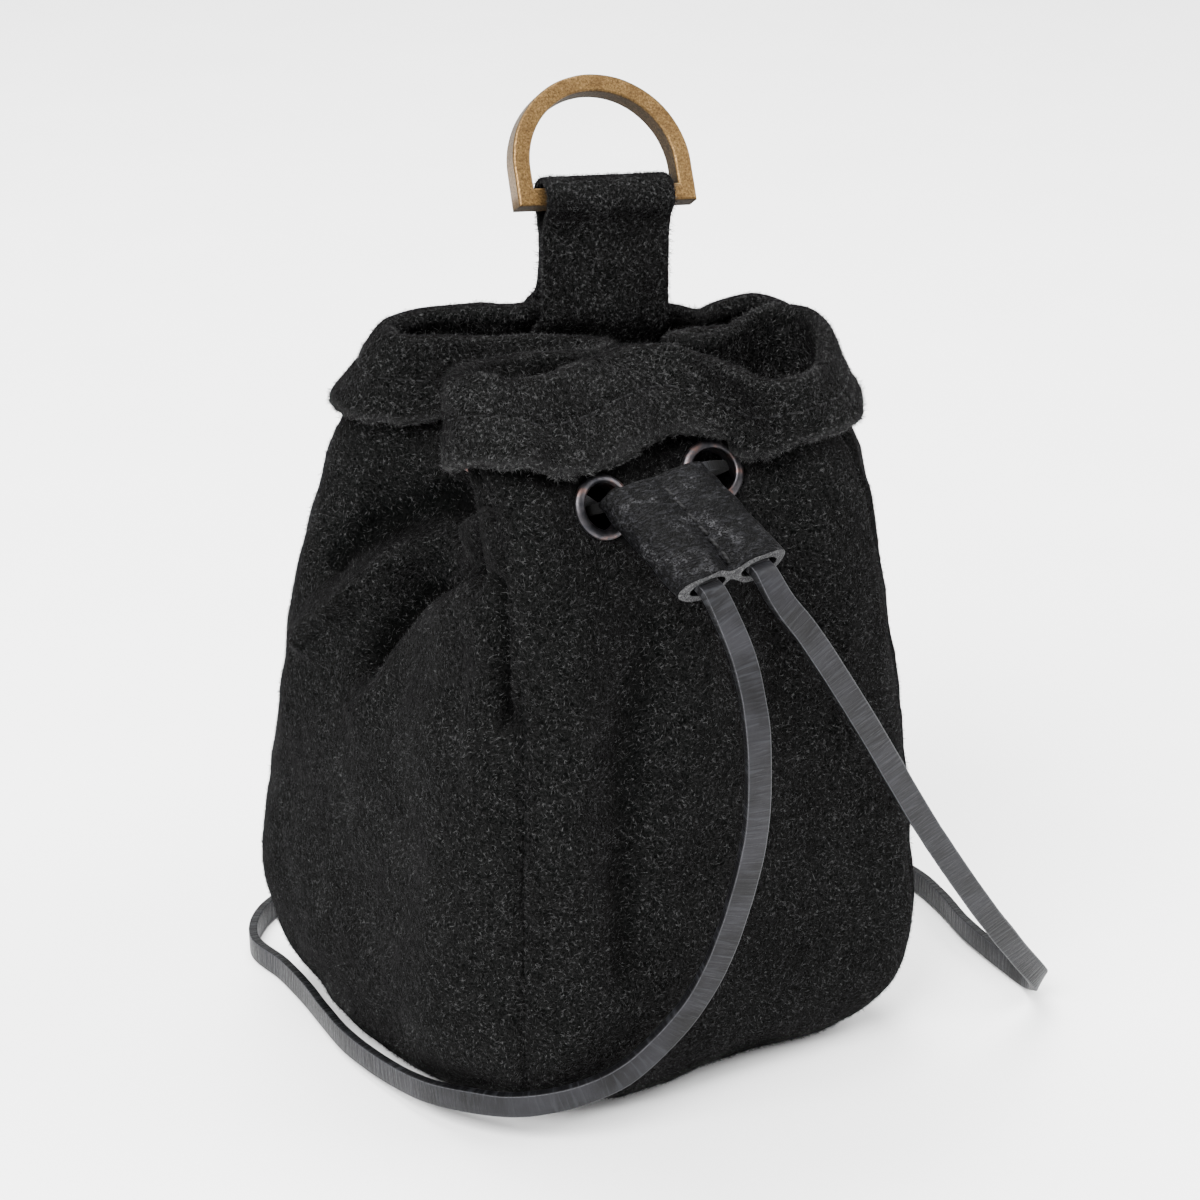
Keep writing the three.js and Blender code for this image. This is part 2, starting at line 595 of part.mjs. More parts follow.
function baseGeometry() {
  const width = levels[0].width - seamGap / half;
  const points = [];
  const steps = 48;
  for (let i = 0; i < steps; i += 1) {
    const [x, y] = boxPoint(i * 4 / steps, width, levels[0].corner, levels[0].belly);
    points.push(new THREE.Vector2(x * half, y * half));
  }
  return new THREE.ExtrudeGeometry(new THREE.Shape(points), { depth: leather, bevelEnabled: false });
}

// The D-ring stands on its straight bar, with the bar's centre at the shape's origin.
function ringGeometry() {
  const outline = (reach, bottom) => {
    const shape = new THREE.Shape();
    const top = ringHeight - ringBand / 2 - (ringInner / 2 + ringBand) - ringBevel;
    shape.moveTo(-reach, bottom);
    shape.lineTo(reach, bottom);
    shape.lineTo(reach, top);
    shape.absarc(0, top, reach, 0, Math.PI, false);
    shape.lineTo(-reach, bottom);
    return shape;
  };
  const ring = outline(ringInner / 2 + ringBand - ringBevel, -ringBand / 2 + ringBevel);
  ring.holes.push(outline(ringInner / 2 + ringBevel, ringBand / 2 - ringBevel));
  const geometry = new THREE.ExtrudeGeometry(ring, { depth: ringDepth - 2 * ringBevel, bevelEnabled: true,
    bevelThickness: ringBevel, bevelSize: ringBevel, bevelSegments: 1, curveSegments: 20 });
  geometry.translate(0, 0, -(ringDepth - 2 * ringBevel) / 2);
  return geometry;
}

const ringUp = sideways(ringLean);
ringUp.addScaledVector(strapAcross, -ringUp.dot(strapAcross)).normalize();

// The slider: a strip folded round both strands and stitched down its middle. Its top end
// sits close in front of the middle between the front's two eyelets.
const sliderStand = new THREE.Vector3(-4.76, -6.69, 2.77);
const sliderTop = eyeletSpots[0].centre.clone().add(eyeletSpots[1].centre).multiplyScalar(0.5).add(sliderStand);
const sliderAim = new THREE.Vector3(2.5, -22.5, -10.5).normalize();
const sliderSide = new THREE.Vector3(24.5, 0, 1.2).normalize();
const sliderMatrix = placed(sliderTop, sliderAim, sliderSide);

function sliderGeometry() {
  const reach = sliderWidth / 2;
  const thick = sliderThickness / 2;
  const pinch = thick * 0.62;
  const outline = new THREE.Shape();
  outline.moveTo(0, -pinch);
  outline.bezierCurveTo(reach * 0.30, -pinch, reach * 0.25, -thick, reach * 0.55, -thick);
  outline.bezierCurveTo(reach * 1.15, -thick, reach * 1.15, thick, reach * 0.55, thick);
  outline.bezierCurveTo(reach * 0.25, thick, reach * 0.30, pinch, 0, pinch);
  outline.bezierCurveTo(-reach * 0.30, pinch, -reach * 0.25, thick, -reach * 0.55, thick);
  outline.bezierCurveTo(-reach * 1.15, thick, -reach * 1.15, -thick, -reach * 0.55, -thick);
  outline.bezierCurveTo(-reach * 0.25, -thick, -reach * 0.30, -pinch, 0, -pinch);
  const channelReach = sliderPitch / 2 - sliderWall / 2 - 1.2;
  const channelThick = thick - sliderWall;
  for (const sign of [-1, 1]) {
    const hole = new THREE.Path();
    hole.absellipse(sign * sliderPitch / 2, 0, channelReach, channelThick, 0, 2 * Math.PI, false, 0);
    outline.holes.push(hole);
  }
  const geometry = new THREE.ExtrudeGeometry(outline, { depth: sliderLength, bevelEnabled: false, curveSegments: 6 });
  geometry.rotateX(-Math.PI / 2);
  return geometry;
}

// A flat lace along a curve; `sides` gives the direction of its width at each point.
const laceOutline = [[0.5, -0.25], [0.5, 0.25], [0.36, 0.5], [-0.36, 0.5], [-0.5, 0.25], [-0.5, -0.25],
  [-0.36, -0.5], [0.36, -0.5]];

function laceGeometry(points, sides, steps) {
  const curve = new THREE.CatmullRomCurve3(points, false, 'centripetal');
  const rings = [];
  for (let i = 0; i <= steps; i += 1) {
    const t = i / steps;
    const centre = curve.getPoint(t);
    const tangent = curve.getTangent(t);
    const place = t * (sides.length - 1);
    const k = Math.min(Math.floor(place), sides.length - 2);
    const wide = sides[k].clone().lerp(sides[k + 1], place - k);
    wide.addScaledVector(tangent, -wide.dot(tangent)).normalize();
    const thin = new THREE.Vector3().crossVectors(tangent, wide);
    rings.push(laceOutline.map(([a, b]) => centre.clone().addScaledVector(wide, a * laceWidth)
      .addScaledVector(thin, b * laceThickness)));
  }
  return tubeGeometry(rings);
}

function tubeGeometry(rings) {
  const sides = rings[0].length;
  const vertices = rings.flat().flatMap((p) => [p.x, p.y, p.z]);
  const triangles = [];
  for (let i = 0; i < rings.length - 1; i += 1) {
    for (let j = 0; j < sides; j += 1) {
      const a = i * sides + j;
      const b = i * sides + (j + 1) % sides;
      triangles.push(a, b, b + sides, a, b + sides, a + sides);
    }
  }
  const last = (rings.length - 1) * sides;
  for (let j = 1; j < sides - 1; j += 1) {
    triangles.push(0, j + 1, j, last, last + j, last + j + 1);
  }
  const geometry = new THREE.BufferGeometry();
  geometry.setAttribute('position', new THREE.Float32BufferAttribute(vertices, 3));
  geometry.setIndex(triangles);
  return geometry;
}

// The held lace: from one slider channel through all eight eyelets and back down the other.
const channelPoint = (sign, along) => new THREE.Vector3(sign * sliderPitch / 2, along, 0).applyMatrix4(sliderMatrix);

function heldLace() {
  const clear = laceThickness / 2 + eyeletLip + seamGap;
  const points = [sliderLength, sliderLength / 2, 0, -1.5].map((along) => channelPoint(1, along));
  const sides = points.map(() => sliderSide.clone());
  const order = [1, 2, 3, 4, 5, 6, 7, 0];
  for (const [step, index] of order.entries()) {
    const spot = eyeletSpots[index];
    const along = spot.wall === 'front' ? sliderSide.clone() : new THREE.Vector3(0, 0, 1);
    along.addScaledVector(spot.normal, -along.dot(spot.normal)).normalize();
    const levelsOut = [clear, -leather / 2, -leather - clear];
    if (step % 2) levelsOut.reverse();
    for (const offset of levelsOut) {
      points.push(spot.centre.clone().addScaledVector(spot.normal, offset));
      sides.push(along.clone());
    }
  }
  for (const along of [-1.5, 0, sliderLength / 2, sliderLength]) {
    points.push(channelPoint(-1, along));
    sides.push(sliderSide.clone());
  }
  return laceGeometry(points, sides, 62);
}

// The free loop of lace, from the slider's left mouth down to the floor, round the
// pouch and up to its right mouth: places, and the direction of the lace's width.
const laceRoute = [
  { x: -12.4, y: -72.0, z: 117.3, wx: 1.00, wy: 0.00, wz: 0.05 },
  { x: -8.9, y: -73.5, z: 107.7, wx: 0.98, wy: -0.15, wz: 0.00 },
  { x: -7.6, y: -76.0, z: 96.8, wx: 0.97, wy: -0.25, wz: 0.00 },
  { x: -7.0, y: -76.5, z: 87.3, wx: 0.97, wy: -0.25, wz: 0.00 },
  { x: -6.3, y: -75.0, z: 71.5, wx: 0.97, wy: -0.25, wz: 0.00 },
  { x: -7.3, y: -71.5, z: 55.2, wx: 0.95, wy: -0.25, wz: -0.15 },
  { x: -9.8, y: -67.5, z: 40.2, wx: 0.90, wy: -0.20, wz: -0.35 },
  { x: -13.5, y: -64.0, z: 29.6, wx: 0.80, wy: -0.15, wz: -0.55 },
  { x: -19.3, y: -60.2, z: 20.5, wx: 0.60, wy: -0.10, wz: -0.80 },
  { x: -26.1, y: -58.6, z: 15.5, wx: 0.35, wy: -0.10, wz: -0.93 },
  { x: -34.2, y: -56.0, z: 12.5, wx: 0.20, wy: 0.00, wz: -0.97 },
  { x: -40.6, y: -51.5, z: 10.2, wx: 0.12, wy: 0.00, wz: -1.00 },
  { x: -45.6, y: -47.0, z: 9.0, wx: 0.06, wy: 0.00, wz: -1.00 },
  { x: -49.8, y: -41.3, z: 8.3, wx: 0.00, wy: 0.00, wz: -1.00 },
  { x: -54.2, y: -30.4, z: 6.6, wx: 0.00, wy: 0.00, wz: -1.00 },
  { x: -55.8, y: -16.9, z: 4.8, wx: 0.00, wy: 0.00, wz: -1.00 },
  { x: -56.4, y: 0.5, z: 3.9, wx: 0.00, wy: 0.00, wz: -1.00 },
  { x: -55.0, y: 13.4, z: 3.6, wx: 0.00, wy: 0.00, wz: -1.00 },
  { x: -53.2, y: 25.0, z: 3.2, wx: 0.00, wy: 0.00, wz: -1.00 },
  { x: -52.0, y: 38.0, z: 2.8, wx: 0.00, wy: 0.00, wz: -1.00 },
  { x: -52.0, y: 52.0, z: 2.7, wx: 0.00, wy: 0.00, wz: -1.00 },
  { x: -43.0, y: 64.0, z: 2.7, wx: 0.00, wy: 0.00, wz: -1.00 },
  { x: -25.0, y: 71.0, z: 2.7, wx: 0.00, wy: 0.00, wz: -1.00 },
  { x: 0.0, y: 74.0, z: 2.7, wx: 0.00, wy: 0.00, wz: -1.00 },
  { x: 28.0, y: 72.0, z: 2.7, wx: 0.00, wy: 0.00, wz: -1.00 },
  { x: 55.0, y: 63.0, z: 2.7, wx: 0.00, wy: 0.00, wz: -1.00 },
  { x: 76.0, y: 45.0, z: 2.7, wx: 0.00, wy: 0.00, wz: -1.00 },
  { x: 87.0, y: 23.0, z: 2.7, wx: 0.00, wy: 0.00, wz: -1.00 },
  { x: 91.0, y: 0.0, z: 2.9, wx: 0.00, wy: 0.00, wz: -1.00 },
  { x: 89.3, y: -13.3, z: 3.0, wx: 0.00, wy: 0.00, wz: -1.00 },
  { x: 85.6, y: -28.0, z: 3.0, wx: 0.00, wy: 0.00, wz: -1.00 },
  { x: 83.6, y: -44.5, z: 3.0, wx: 0.00, wy: 0.05, wz: -1.00 },
  { x: 83.0, y: -53.0, z: 3.2, wx: -0.10, wy: 0.10, wz: -0.98 },
  { x: 80.5, y: -59.0, z: 6.6, wx: -0.45, wy: 0.20, wz: -0.85 },
  { x: 70.6, y: -63.5, z: 17.6, wx: -0.70, wy: 0.27, wz: -0.65 },
  { x: 57.1, y: -67.0, z: 34.0, wx: -0.80, wy: 0.28, wz: -0.53 },
  { x: 38.4, y: -70.0, z: 60.0, wx: -0.82, wy: 0.25, wz: -0.48 },
  { x: 20.5, y: -72.0, z: 88.2, wx: -0.85, wy: 0.20, wz: -0.40 },
  { x: 6.9, y: -72.0, z: 109.0, wx: -0.92, wy: 0.10, wz: -0.25 },
  { x: 1.2, y: -71.4, z: 116.6, wx: -0.98, wy: 0.00, wz: -0.10 },
];

function freeLace() {
  const points = [seamGap, 2].map((beyond) => channelPoint(-1, sliderLength + beyond));
  const sides = points.map(() => sliderSide.clone());
  for (const row of laceRoute) {
    points.push(new THREE.Vector3(row.x, row.y, row.z));
    sides.push(new THREE.Vector3(row.wx, row.wy, row.wz));
  }
  for (const beyond of [2, seamGap]) {
    points.push(channelPoint(1, sliderLength + beyond));
    sides.push(sliderSide.clone().negate());
  }
  return laceGeometry(points, sides, 68);
}

const suede = new THREE.MeshStandardMaterial({ color: 0x242424, roughness: 0.95, metalness: 0 });
const smoothLeather = new THREE.MeshStandardMaterial({ color: 0x2e2e30, roughness: 0.6, metalness: 0 });
const laceLeather = new THREE.MeshStandardMaterial({ color: 0x3c3d40, roughness: 0.55, metalness: 0 });
const brass = new THREE.MeshStandardMaterial({ color: 0x8a6a3c, roughness: 0.4, metalness: 1 });
const gunmetal = new THREE.MeshStandardMaterial({ color: 0x45454a, roughness: 0.35, metalness: 1 });

const pouch = new THREE.Group();

function add(name, geometry, material, matrix) {
  const mesh = new THREE.Mesh(geometry, material);
  mesh.name = name;
  if (matrix) mesh.applyMatrix4(matrix);
  pouch.add(mesh);
}

const wallNodes = ['front_panel', 'right_gusset', 'back_panel', 'left_gusset'];
for (const [index, name] of wallNodes.entries()) add(name, wallWithHoles(index), suede);
add('base_panel', baseGeometry(), suede);
for (const spot of eyeletSpots) {
  add(`eyelet_${spot.wall}_${spot.name}`, eyeletGeometry(), gunmetal, eyeletMatrix(spot));
}
add('belt_strap', strapGeometry(), suede);
add('d_ring', ringGeometry(), brass, placed(barCentre, ringUp, strapAcross));
add('slider', sliderGeometry(), smoothLeather, sliderMatrix);
add('drawstring', heldLace(), laceLeather);
add('lace_loop', freeLace(), laceLeather);

export default pouch;
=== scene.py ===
# Drawstring belt pouch of black suede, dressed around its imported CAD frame.
import math

import bpy
import bmesh
import numpy as np
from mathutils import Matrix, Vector, noise


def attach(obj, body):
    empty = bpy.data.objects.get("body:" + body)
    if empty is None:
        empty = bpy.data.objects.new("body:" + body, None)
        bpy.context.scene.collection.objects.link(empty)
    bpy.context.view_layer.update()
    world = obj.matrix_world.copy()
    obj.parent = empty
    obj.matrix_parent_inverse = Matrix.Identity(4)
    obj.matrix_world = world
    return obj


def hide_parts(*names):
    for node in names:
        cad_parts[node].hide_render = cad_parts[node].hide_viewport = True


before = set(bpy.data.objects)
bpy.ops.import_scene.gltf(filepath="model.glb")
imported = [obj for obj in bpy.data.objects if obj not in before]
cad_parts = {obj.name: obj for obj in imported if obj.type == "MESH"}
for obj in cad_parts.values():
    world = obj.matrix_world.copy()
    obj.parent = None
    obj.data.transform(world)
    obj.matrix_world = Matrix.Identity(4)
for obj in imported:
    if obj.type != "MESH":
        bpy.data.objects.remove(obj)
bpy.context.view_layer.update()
mm = 0.001

# The camera stands where the photographer stood.
view = {
    "place": (-0.36102, -0.57625, 0.37295),
    "target": (0.0004, -0.0086, 0.095),
    "lens": 105.9,
}


def aimAt(thing, target):
    away = Vector(target) - thing.location
    thing.rotation_euler = away.to_track_quat("-Z", "Y").to_euler()


cameraData = bpy.data.cameras.new("view")
cameraData.lens = view["lens"]
cameraData.clip_start = 0.05
camera = bpy.data.objects.new("view", cameraData)
camera.location = view["place"]
aimAt(camera, view["target"])
bpy.context.scene.collection.objects.link(camera)
bpy.context.scene.camera = camera
print("camera set")


# Helpers for shapes

def unit(vectors):
    return vectors / np.maximum(np.linalg.norm(vectors, axis=-1, keepdims=True), 1e-12)


def smooth(low, high, value):
    t = np.clip((value - low) / (high - low), 0, 1)
    return t * t * (3 - 2 * t)


# Soft noise at each point, with lumps of about the given size in millimetres.
def lumps(points, size, seed=0.0):
    flat = points.reshape(-1, 3) / size + seed
    return np.array([noise.noise(Vector(p)) for p in flat]).reshape(points.shape[:-1])


# A mesh from points in millimetres. Nothing sinks into the table.
def makePiece(name, points, faces, material, body="pouch", softEdges=True):
    points = np.array(points, float) * mm
    points[:, 2] = np.maximum(points[:, 2], 0.05 * mm)
    mesh = bpy.data.meshes.new(name)
    mesh.from_pydata(points.tolist(), [], faces)
    mesh.update()
    piece = bpy.data.objects.new(name, mesh)
    bpy.context.scene.collection.objects.link(piece)
    mesh.materials.append(material)
    if softEdges:
        mesh.polygons.foreach_set("use_smooth", [True] * len(mesh.polygons))
    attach(piece, body)
    return piece


# Faces of a closed sheet that has an outer and an inner grid of points.
def sheetFaces(rows, across):
    faces = []
    step = rows * across
    for i in range(rows - 1):
        for j in range(across - 1):
            a = i * across + j
            b, c, d = a + 1, a + across + 1, a + across
            faces.append((a, d, c, b))
            faces.append((step + a, step + b, step + c, step + d))
        a, b = i * across, (i + 1) * across - 1
        faces.append((a, step + a, step + a + across, a + across))
        faces.append((b, b + across, step + b + across, step + b))
    for j in range(across - 1):
        a, b = j, (rows - 1) * across + j
        faces.append((a, a + 1, step + a + 1, step + a))
        faces.append((b, step + b, step + b + 1, b + 1))
    return faces


# Faces between neighbouring rings of points. A looped tube joins its last ring to its first.
def ringFaces(rings, sides, loop=False):
    faces = []
    for i in range(rings if loop else rings - 1):
        here, there = i * sides, (i + 1) % rings * sides
        for j in range(sides):
            beside = (j + 1) % sides
            faces.append((here + j, here + beside, there + beside, there + j))
    return faces


# Faces of a tube from rings of points, with both ends closed.
def tubeFaces(rings, sides):
    last = (rings - 1) * sides
    return ringFaces(rings, sides) + [tuple(range(sides))[::-1], tuple(last + j for j in range(sides))]


# A centripetal curve through points, a few steps to each span, with the direction of
# the width carried along.
def curveThrough(points, wides, steps):
    p = [np.array(q, float) for q in points]
    p = [2 * p[0] - p[1]] + p + [2 * p[-1] - p[-2]]
    w = [np.array(q, float) for q in wides]
    centres, across, tangents = [], [], []
    for i in range(len(p) - 3):
        a, b, c, d = p[i:i + 4]
        first, middle, last = [max(np.linalg.norm(v), 1e-6) ** 0.5 for v in (b - a, c - b, d - c)]
        start = ((b - a) / first - (c - a) / (first + middle) + (c - b) / middle) * middle
        end = ((c - b) / middle - (d - b) / (middle + last) + (d - c) / last) * middle
        count = steps + (1 if i == len(p) - 4 else 0)
        for k in range(count):
            t = k / steps
            centres.append((2 * t**3 - 3 * t**2 + 1) * b + (t**3 - 2 * t**2 + t) * start
                           + (3 * t**2 - 2 * t**3) * c + (t**3 - t**2) * end)
            tangents.append((6 * t**2 - 6 * t) * b + (3 * t**2 - 4 * t + 1) * start
                            + (6 * t - 6 * t**2) * c + (3 * t**2 - 2 * t) * end)
            across.append(w[i] * (1 - t) + w[i + 1] * t)
    centres, across, tangents = np.array(centres), np.array(across), unit(np.array(tangents))
    across = unit(across - tangents * (across * tangents).sum(1)[:, None])
    return centres, across, tangents


# Distance from the first of a line of points to each of them, along the line.
def runAlong(points):
    return np.concatenate([[0], np.cumsum(np.linalg.norm(np.diff(points, axis=0), axis=1))])


# Gives each point of a piece a value that its material reads.
def store(piece, name, values):
    layer = piece.data.attributes.new(name, "FLOAT", "POINT")
    layer.data.foreach_set("value", np.ravel(values))


# Helpers for materials

def toLinear(hexColour):
    channels = [int(hexColour[i:i + 2], 16) / 255 for i in (1, 3, 5)]
    linear = [c / 12.92 if c <= 0.04045 else ((c + 0.055) / 1.055) ** 2.4 for c in channels]
    return (*linear, 1.0)


# Adds one node, sets its values and links what goes into it.
def addNode(tree, kind, settings=None, links=None):
    node = tree.nodes.new(kind)
    for key, value in (settings or {}).items():
        if hasattr(node, key) and not key[0].isupper():
            setattr(node, key, value)
        else:
            node.inputs[key].default_value = value
    for key, source in (links or {}).items():
        tree.links.new(source, node.inputs[key])
    return node


def ramp(tree, factor, stops):
    node = addNode(tree, "ShaderNodeValToRGB", links={"Fac": factor})
    elements = node.color_ramp.elements
    while len(elements) < len(stops):
        elements.new(0.5)
    for element, (position, colour) in zip(elements, stops):
        element.position = position
        element.color = toLinear(colour) if isinstance(colour, str) else (colour, colour, colour, 1)
    return node.outputs["Color"]


def newMaterial(name, shader):
    material = bpy.data.materials.new(name)
    material.use_nodes = True
    tree = material.node_tree
    bsdf = tree.nodes["Principled BSDF"]
    for key, value in shader.items():
        bsdf.inputs[key].default_value = value
    place = addNode(tree, "ShaderNodeTexCoord").outputs["Object"]
    return material, tree, bsdf, place


# Noise whose grains are about the given number of millimetres across.
def grain(tree, place, size, detail=3.0, roughness=0.55, distortion=0.0):
    return addNode(tree, "ShaderNodeTexNoise", {"Scale": 1 / (size * mm), "Detail": detail,
                   "Roughness": roughness, "Distortion": distortion}, {"Vector": place}).outputs["Fac"]


def bump(tree, height, depth, strength, before=None):
    links = {"Height": height}
    if before:
        links["Normal"] = before
    settings = {"Distance": depth * mm, "Strength": strength}
    return addNode(tree, "ShaderNodeBump", settings, links).outputs["Normal"]


def mixed(tree, factor, a, b, mode="MIX"):
    node = addNode(tree, "ShaderNodeMix", {"data_type": "RGBA", "blend_type": mode})
    for socket, value in ((node.inputs[0], factor), (node.inputs[6], a), (node.inputs[7], b)):
        if isinstance(value, (int, float)):
            socket.default_value = value
        elif isinstance(value, str):
            socket.default_value = toLinear(value)
        else:
            tree.links.new(value, socket)
    return node.outputs[2]


def stored(tree, name):
    return addNode(tree, "ShaderNodeAttribute", {"attribute_name": name}).outputs["Fac"]


# Split cow suede, buffed: a deep matt black whose brushed nap shows as grey swirls
# and lets no clear highlight through.
suedeLook = {
    "deep": "#010101", "nap": "#131313", "lint": "#2a2a2b", "raw": "#2a2a2a",
    "napGrain": 0.9, "threadShare": 0.42, "patch": 14.0,
}
suede, tree, bsdf, place = newMaterial("buffed_black_suede", {"Roughness": 0.94, "IOR": 1.5,
                                       "Specular IOR Level": 0.02})
nap = grain(tree, place, suedeLook["napGrain"], 6.0, 0.72, 1.6)
threads = grain(tree, place, suedeLook["napGrain"] * suedeLook["threadShare"], 3.0, 0.6, 3.5)
patch = grain(tree, place, suedeLook["patch"], 3.0, 0.5, 0.6)
tone = ramp(tree, nap, [(0.42, suedeLook["deep"]), (0.60, suedeLook["nap"])])
lint = ramp(tree, threads, [(0.60, 0.0), (0.70, 0.55)])
brushed = ramp(tree, patch, [(0.35, 0.35), (0.70, 1.0)])
amount = addNode(tree, "ShaderNodeMath", {"operation": "MULTIPLY"}, {0: lint, 1: brushed}).outputs[0]
tone = mixed(tree, amount, tone, suedeLook["lint"])
# Painted shade: the nap inside and under the cuff and in the hollows of the creases is darkened to near
# black; the raw edge is palest.
tone = mixed(tree, stored(tree, "painted_shade"), tone, "#010101")
rawTone = ramp(tree, threads, [(0.40, "#0c0c0c"), (0.62, suedeLook["raw"])])
tone = mixed(tree, stored(tree, "raw"), tone, rawTone)
tree.links.new(tone, bsdf.inputs["Base Color"])
normal = bump(tree, patch, 0.5, 0.35)
normal = bump(tree, nap, 0.35, 0.8, normal)
tree.links.new(bump(tree, threads, 0.18, 0.9, normal), bsdf.inputs["Normal"])


# The loose fibres that buffing leaves on suede: fine, curled, and greyer than the hide
# because they catch the light from every side.
def makeFibres(name, tones):
    material, tree, bsdf, place = newMaterial(name, {"Roughness": 0.8, "IOR": 1.5,
                                              "Specular IOR Level": 0.05})
    shade = grain(tree, place, 0.7, 1.0)
    tree.links.new(ramp(tree, shade, list(zip((0.30, 0.50, 0.72), tones))), bsdf.inputs["Base Color"])
    return material


napFibres = makeFibres("suede_nap_fibres", ("#040404", "#131313", "#383838"))
# The paler fibres: on the cuff's raw edge they are its own colour; inside the mouth they are painted light on
# the shaded lining.
paleFibres = makeFibres("raw_edge_and_painted_light_fibres", ("#0e0e0e", "#242424", "#464646"))

# Top grain leather, dyed through and waxed: charcoal with fine pores, rubbed lighter
# where it is handled, with a soft shine on the raised grain.
grainLeather, tree, bsdf, place = newMaterial("waxed_top_grain_leather", {"Roughness": 0.5, "IOR": 1.5,
                                              "Specular IOR Level": 0.04})
pores = addNode(tree, "ShaderNodeTexVoronoi", {"feature": "DISTANCE_TO_EDGE", "Scale": 1 / (0.9 * mm)},
                {"Vector": place}).outputs["Distance"]
fine = grain(tree, place, 0.6, 5.0, 0.7, 1.2)
wear = grain(tree, place, 4.0, 5.0, 0.6)
# Bending has drawn fine wrinkles across it.
drawn = addNode(tree, "ShaderNodeMapping", {"Scale": (0.28, 1.0, 1.0)}, {"Vector": place}).outputs["Vector"]
wrinkle = grain(tree, drawn, 0.62, 4.0, 0.6, 0.8)
tone = ramp(tree, wrinkle, [(0.40, "#010101"), (0.54, "#060607"), (0.68, "#1a1a1c")])
rubbed = ramp(tree, wear, [(0.54, 0.0), (0.72, 0.8)])
rubbed = mixed(tree, 1.0, rubbed, ramp(tree, fine, [(0.48, 0.0), (0.60, 1.0)]), "MULTIPLY")
tree.links.new(mixed(tree, rubbed, tone, "#48484a"), bsdf.inputs["Base Color"])
tree.links.new(ramp(tree, wear, [(0.3, 0.42), (0.7, 0.62)]), bsdf.inputs["Roughness"])
normal = bump(tree, wear, 0.3, 0.3)
normal = bump(tree, ramp(tree, pores, [(0.0, 0.0), (0.22, 1.0)]), 0.14, 0.8, normal)
tree.links.new(bump(tree, wrinkle, 0.3, 0.9, normal), bsdf.inputs["Normal"])

# Cut edge of vegetable tanned leather: grey, fibrous, open.
cutEdge, tree, bsdf, place = newMaterial("cut_leather_edge", {"Roughness": 0.95, "IOR": 1.5,
                                         "Specular IOR Level": 0.05})
strands = grain(tree, place, 0.7, 6.0, 0.75, 2.0)
tree.links.new(ramp(tree, strands, [(0.34, "#141414"), (0.52, "#3c3c3d"), (0.70, "#707070")]),
               bsdf.inputs["Base Color"])
tree.links.new(bump(tree, strands, 0.3, 1.0), bsdf.inputs["Normal"])

# Flat lace cut from drum-dyed leather: dark grey, creased across from being bent, with
# paler rubbed edges. Its own coordinates run along and across it.
laceLook = {"base": "#0e0e0f", "light": "#1d1d20", "edge": "#4a4b4f", "crease": 0.9}
laceLeather, tree, bsdf, place = newMaterial("drum_dyed_lace_leather", {"Roughness": 0.48, "IOR": 1.5,
                                             "Specular IOR Level": 0.12})
lengthwise = addNode(tree, "ShaderNodeUVMap", {"uv_map": "along"}).outputs["UV"]
sideways = addNode(tree, "ShaderNodeSeparateXYZ", links={"Vector": lengthwise}).outputs["Y"]
stretched = addNode(tree, "ShaderNodeMapping", {"Scale": (1.0, 0.35, 1.0)}, {"Vector": lengthwise})
creased = addNode(tree, "ShaderNodeTexNoise", {"Scale": 1 / laceLook["crease"], "Detail": 4.0,
                  "Distortion": 0.8}, {"Vector": stretched.outputs["Vector"]}).outputs["Fac"]
fine = grain(tree, place, 0.6, 5.0, 0.7)
tone = ramp(tree, grain(tree, place, 9.0, 4.0), [(0.35, laceLook["base"]), (0.70, laceLook["light"])])
fromEdge = addNode(tree, "ShaderNodeMath", {"operation": "ABSOLUTE"}, {0: sideways}).outputs[0]
edgeWear = ramp(tree, fromEdge, [(0.0, 0.0), (0.74, 0.0), (0.80, 0.8), (0.86, 0.0), (1.0, 0.0)])
edgeWear = mixed(tree, 1.0, edgeWear, ramp(tree, fine, [(0.36, 0.1), (0.60, 1.0)]), "MULTIPLY")
tone = mixed(tree, edgeWear, tone, laceLook["edge"])
tone = mixed(tree, ramp(tree, fromEdge, [(0.86, 0.0), (0.92, 0.9)]), tone, "#040405")
tone = mixed(tree, ramp(tree, creased, [(0.52, 0.0), (0.66, 0.5)]), tone, "#26272a")
# Painted shade: it is black and matt where it runs through the eyelets.
laceShadeNearEyelets = stored(tree, "painted_shade")
tone = mixed(tree, laceShadeNearEyelets, tone, "#010101")
tree.links.new(tone, bsdf.inputs["Base Color"])
rough = mixed(tree, laceShadeNearEyelets, ramp(tree, fine, [(0.3, 0.40), (0.7, 0.58)]), "#fafafa")
tree.links.new(rough, bsdf.inputs["Roughness"])
normal = bump(tree, creased, 0.30, 0.8)
tree.links.new(bump(tree, fine, 0.08, 0.6, normal), bsdf.inputs["Normal"])

# Cast brass, chemically aged and tumbled: brown, yellow where the edges have rubbed bright and carry a
# painted highlight, never mirror-like; painted shade darkens its inner faces.
agedBrass, tree, bsdf, place = newMaterial("aged_cast_brass", {"Roughness": 0.4, "Specular IOR Level": 0.1})
cast = grain(tree, place, 0.42, 5.0, 0.7)
cloud = grain(tree, place, 5.0, 3.0, 0.5)
tone = ramp(tree, cast, [(0.30, "#33261a"), (0.50, "#5f4a2d"), (0.70, "#826743")])
tone = mixed(tree, ramp(tree, cloud, [(0.45, 0.0), (0.70, 0.5)]), tone, "#43311f")
# Painted highlight: every sharp edge is paler, for rubbed brass and for the glint of light along the edges.
edge = addNode(tree, "ShaderNodeNewGeometry").outputs["Pointiness"]
tone = mixed(tree, ramp(tree, edge, [(0.52, 0.0), (0.60, 0.9)]), tone, "#d8bf8c")
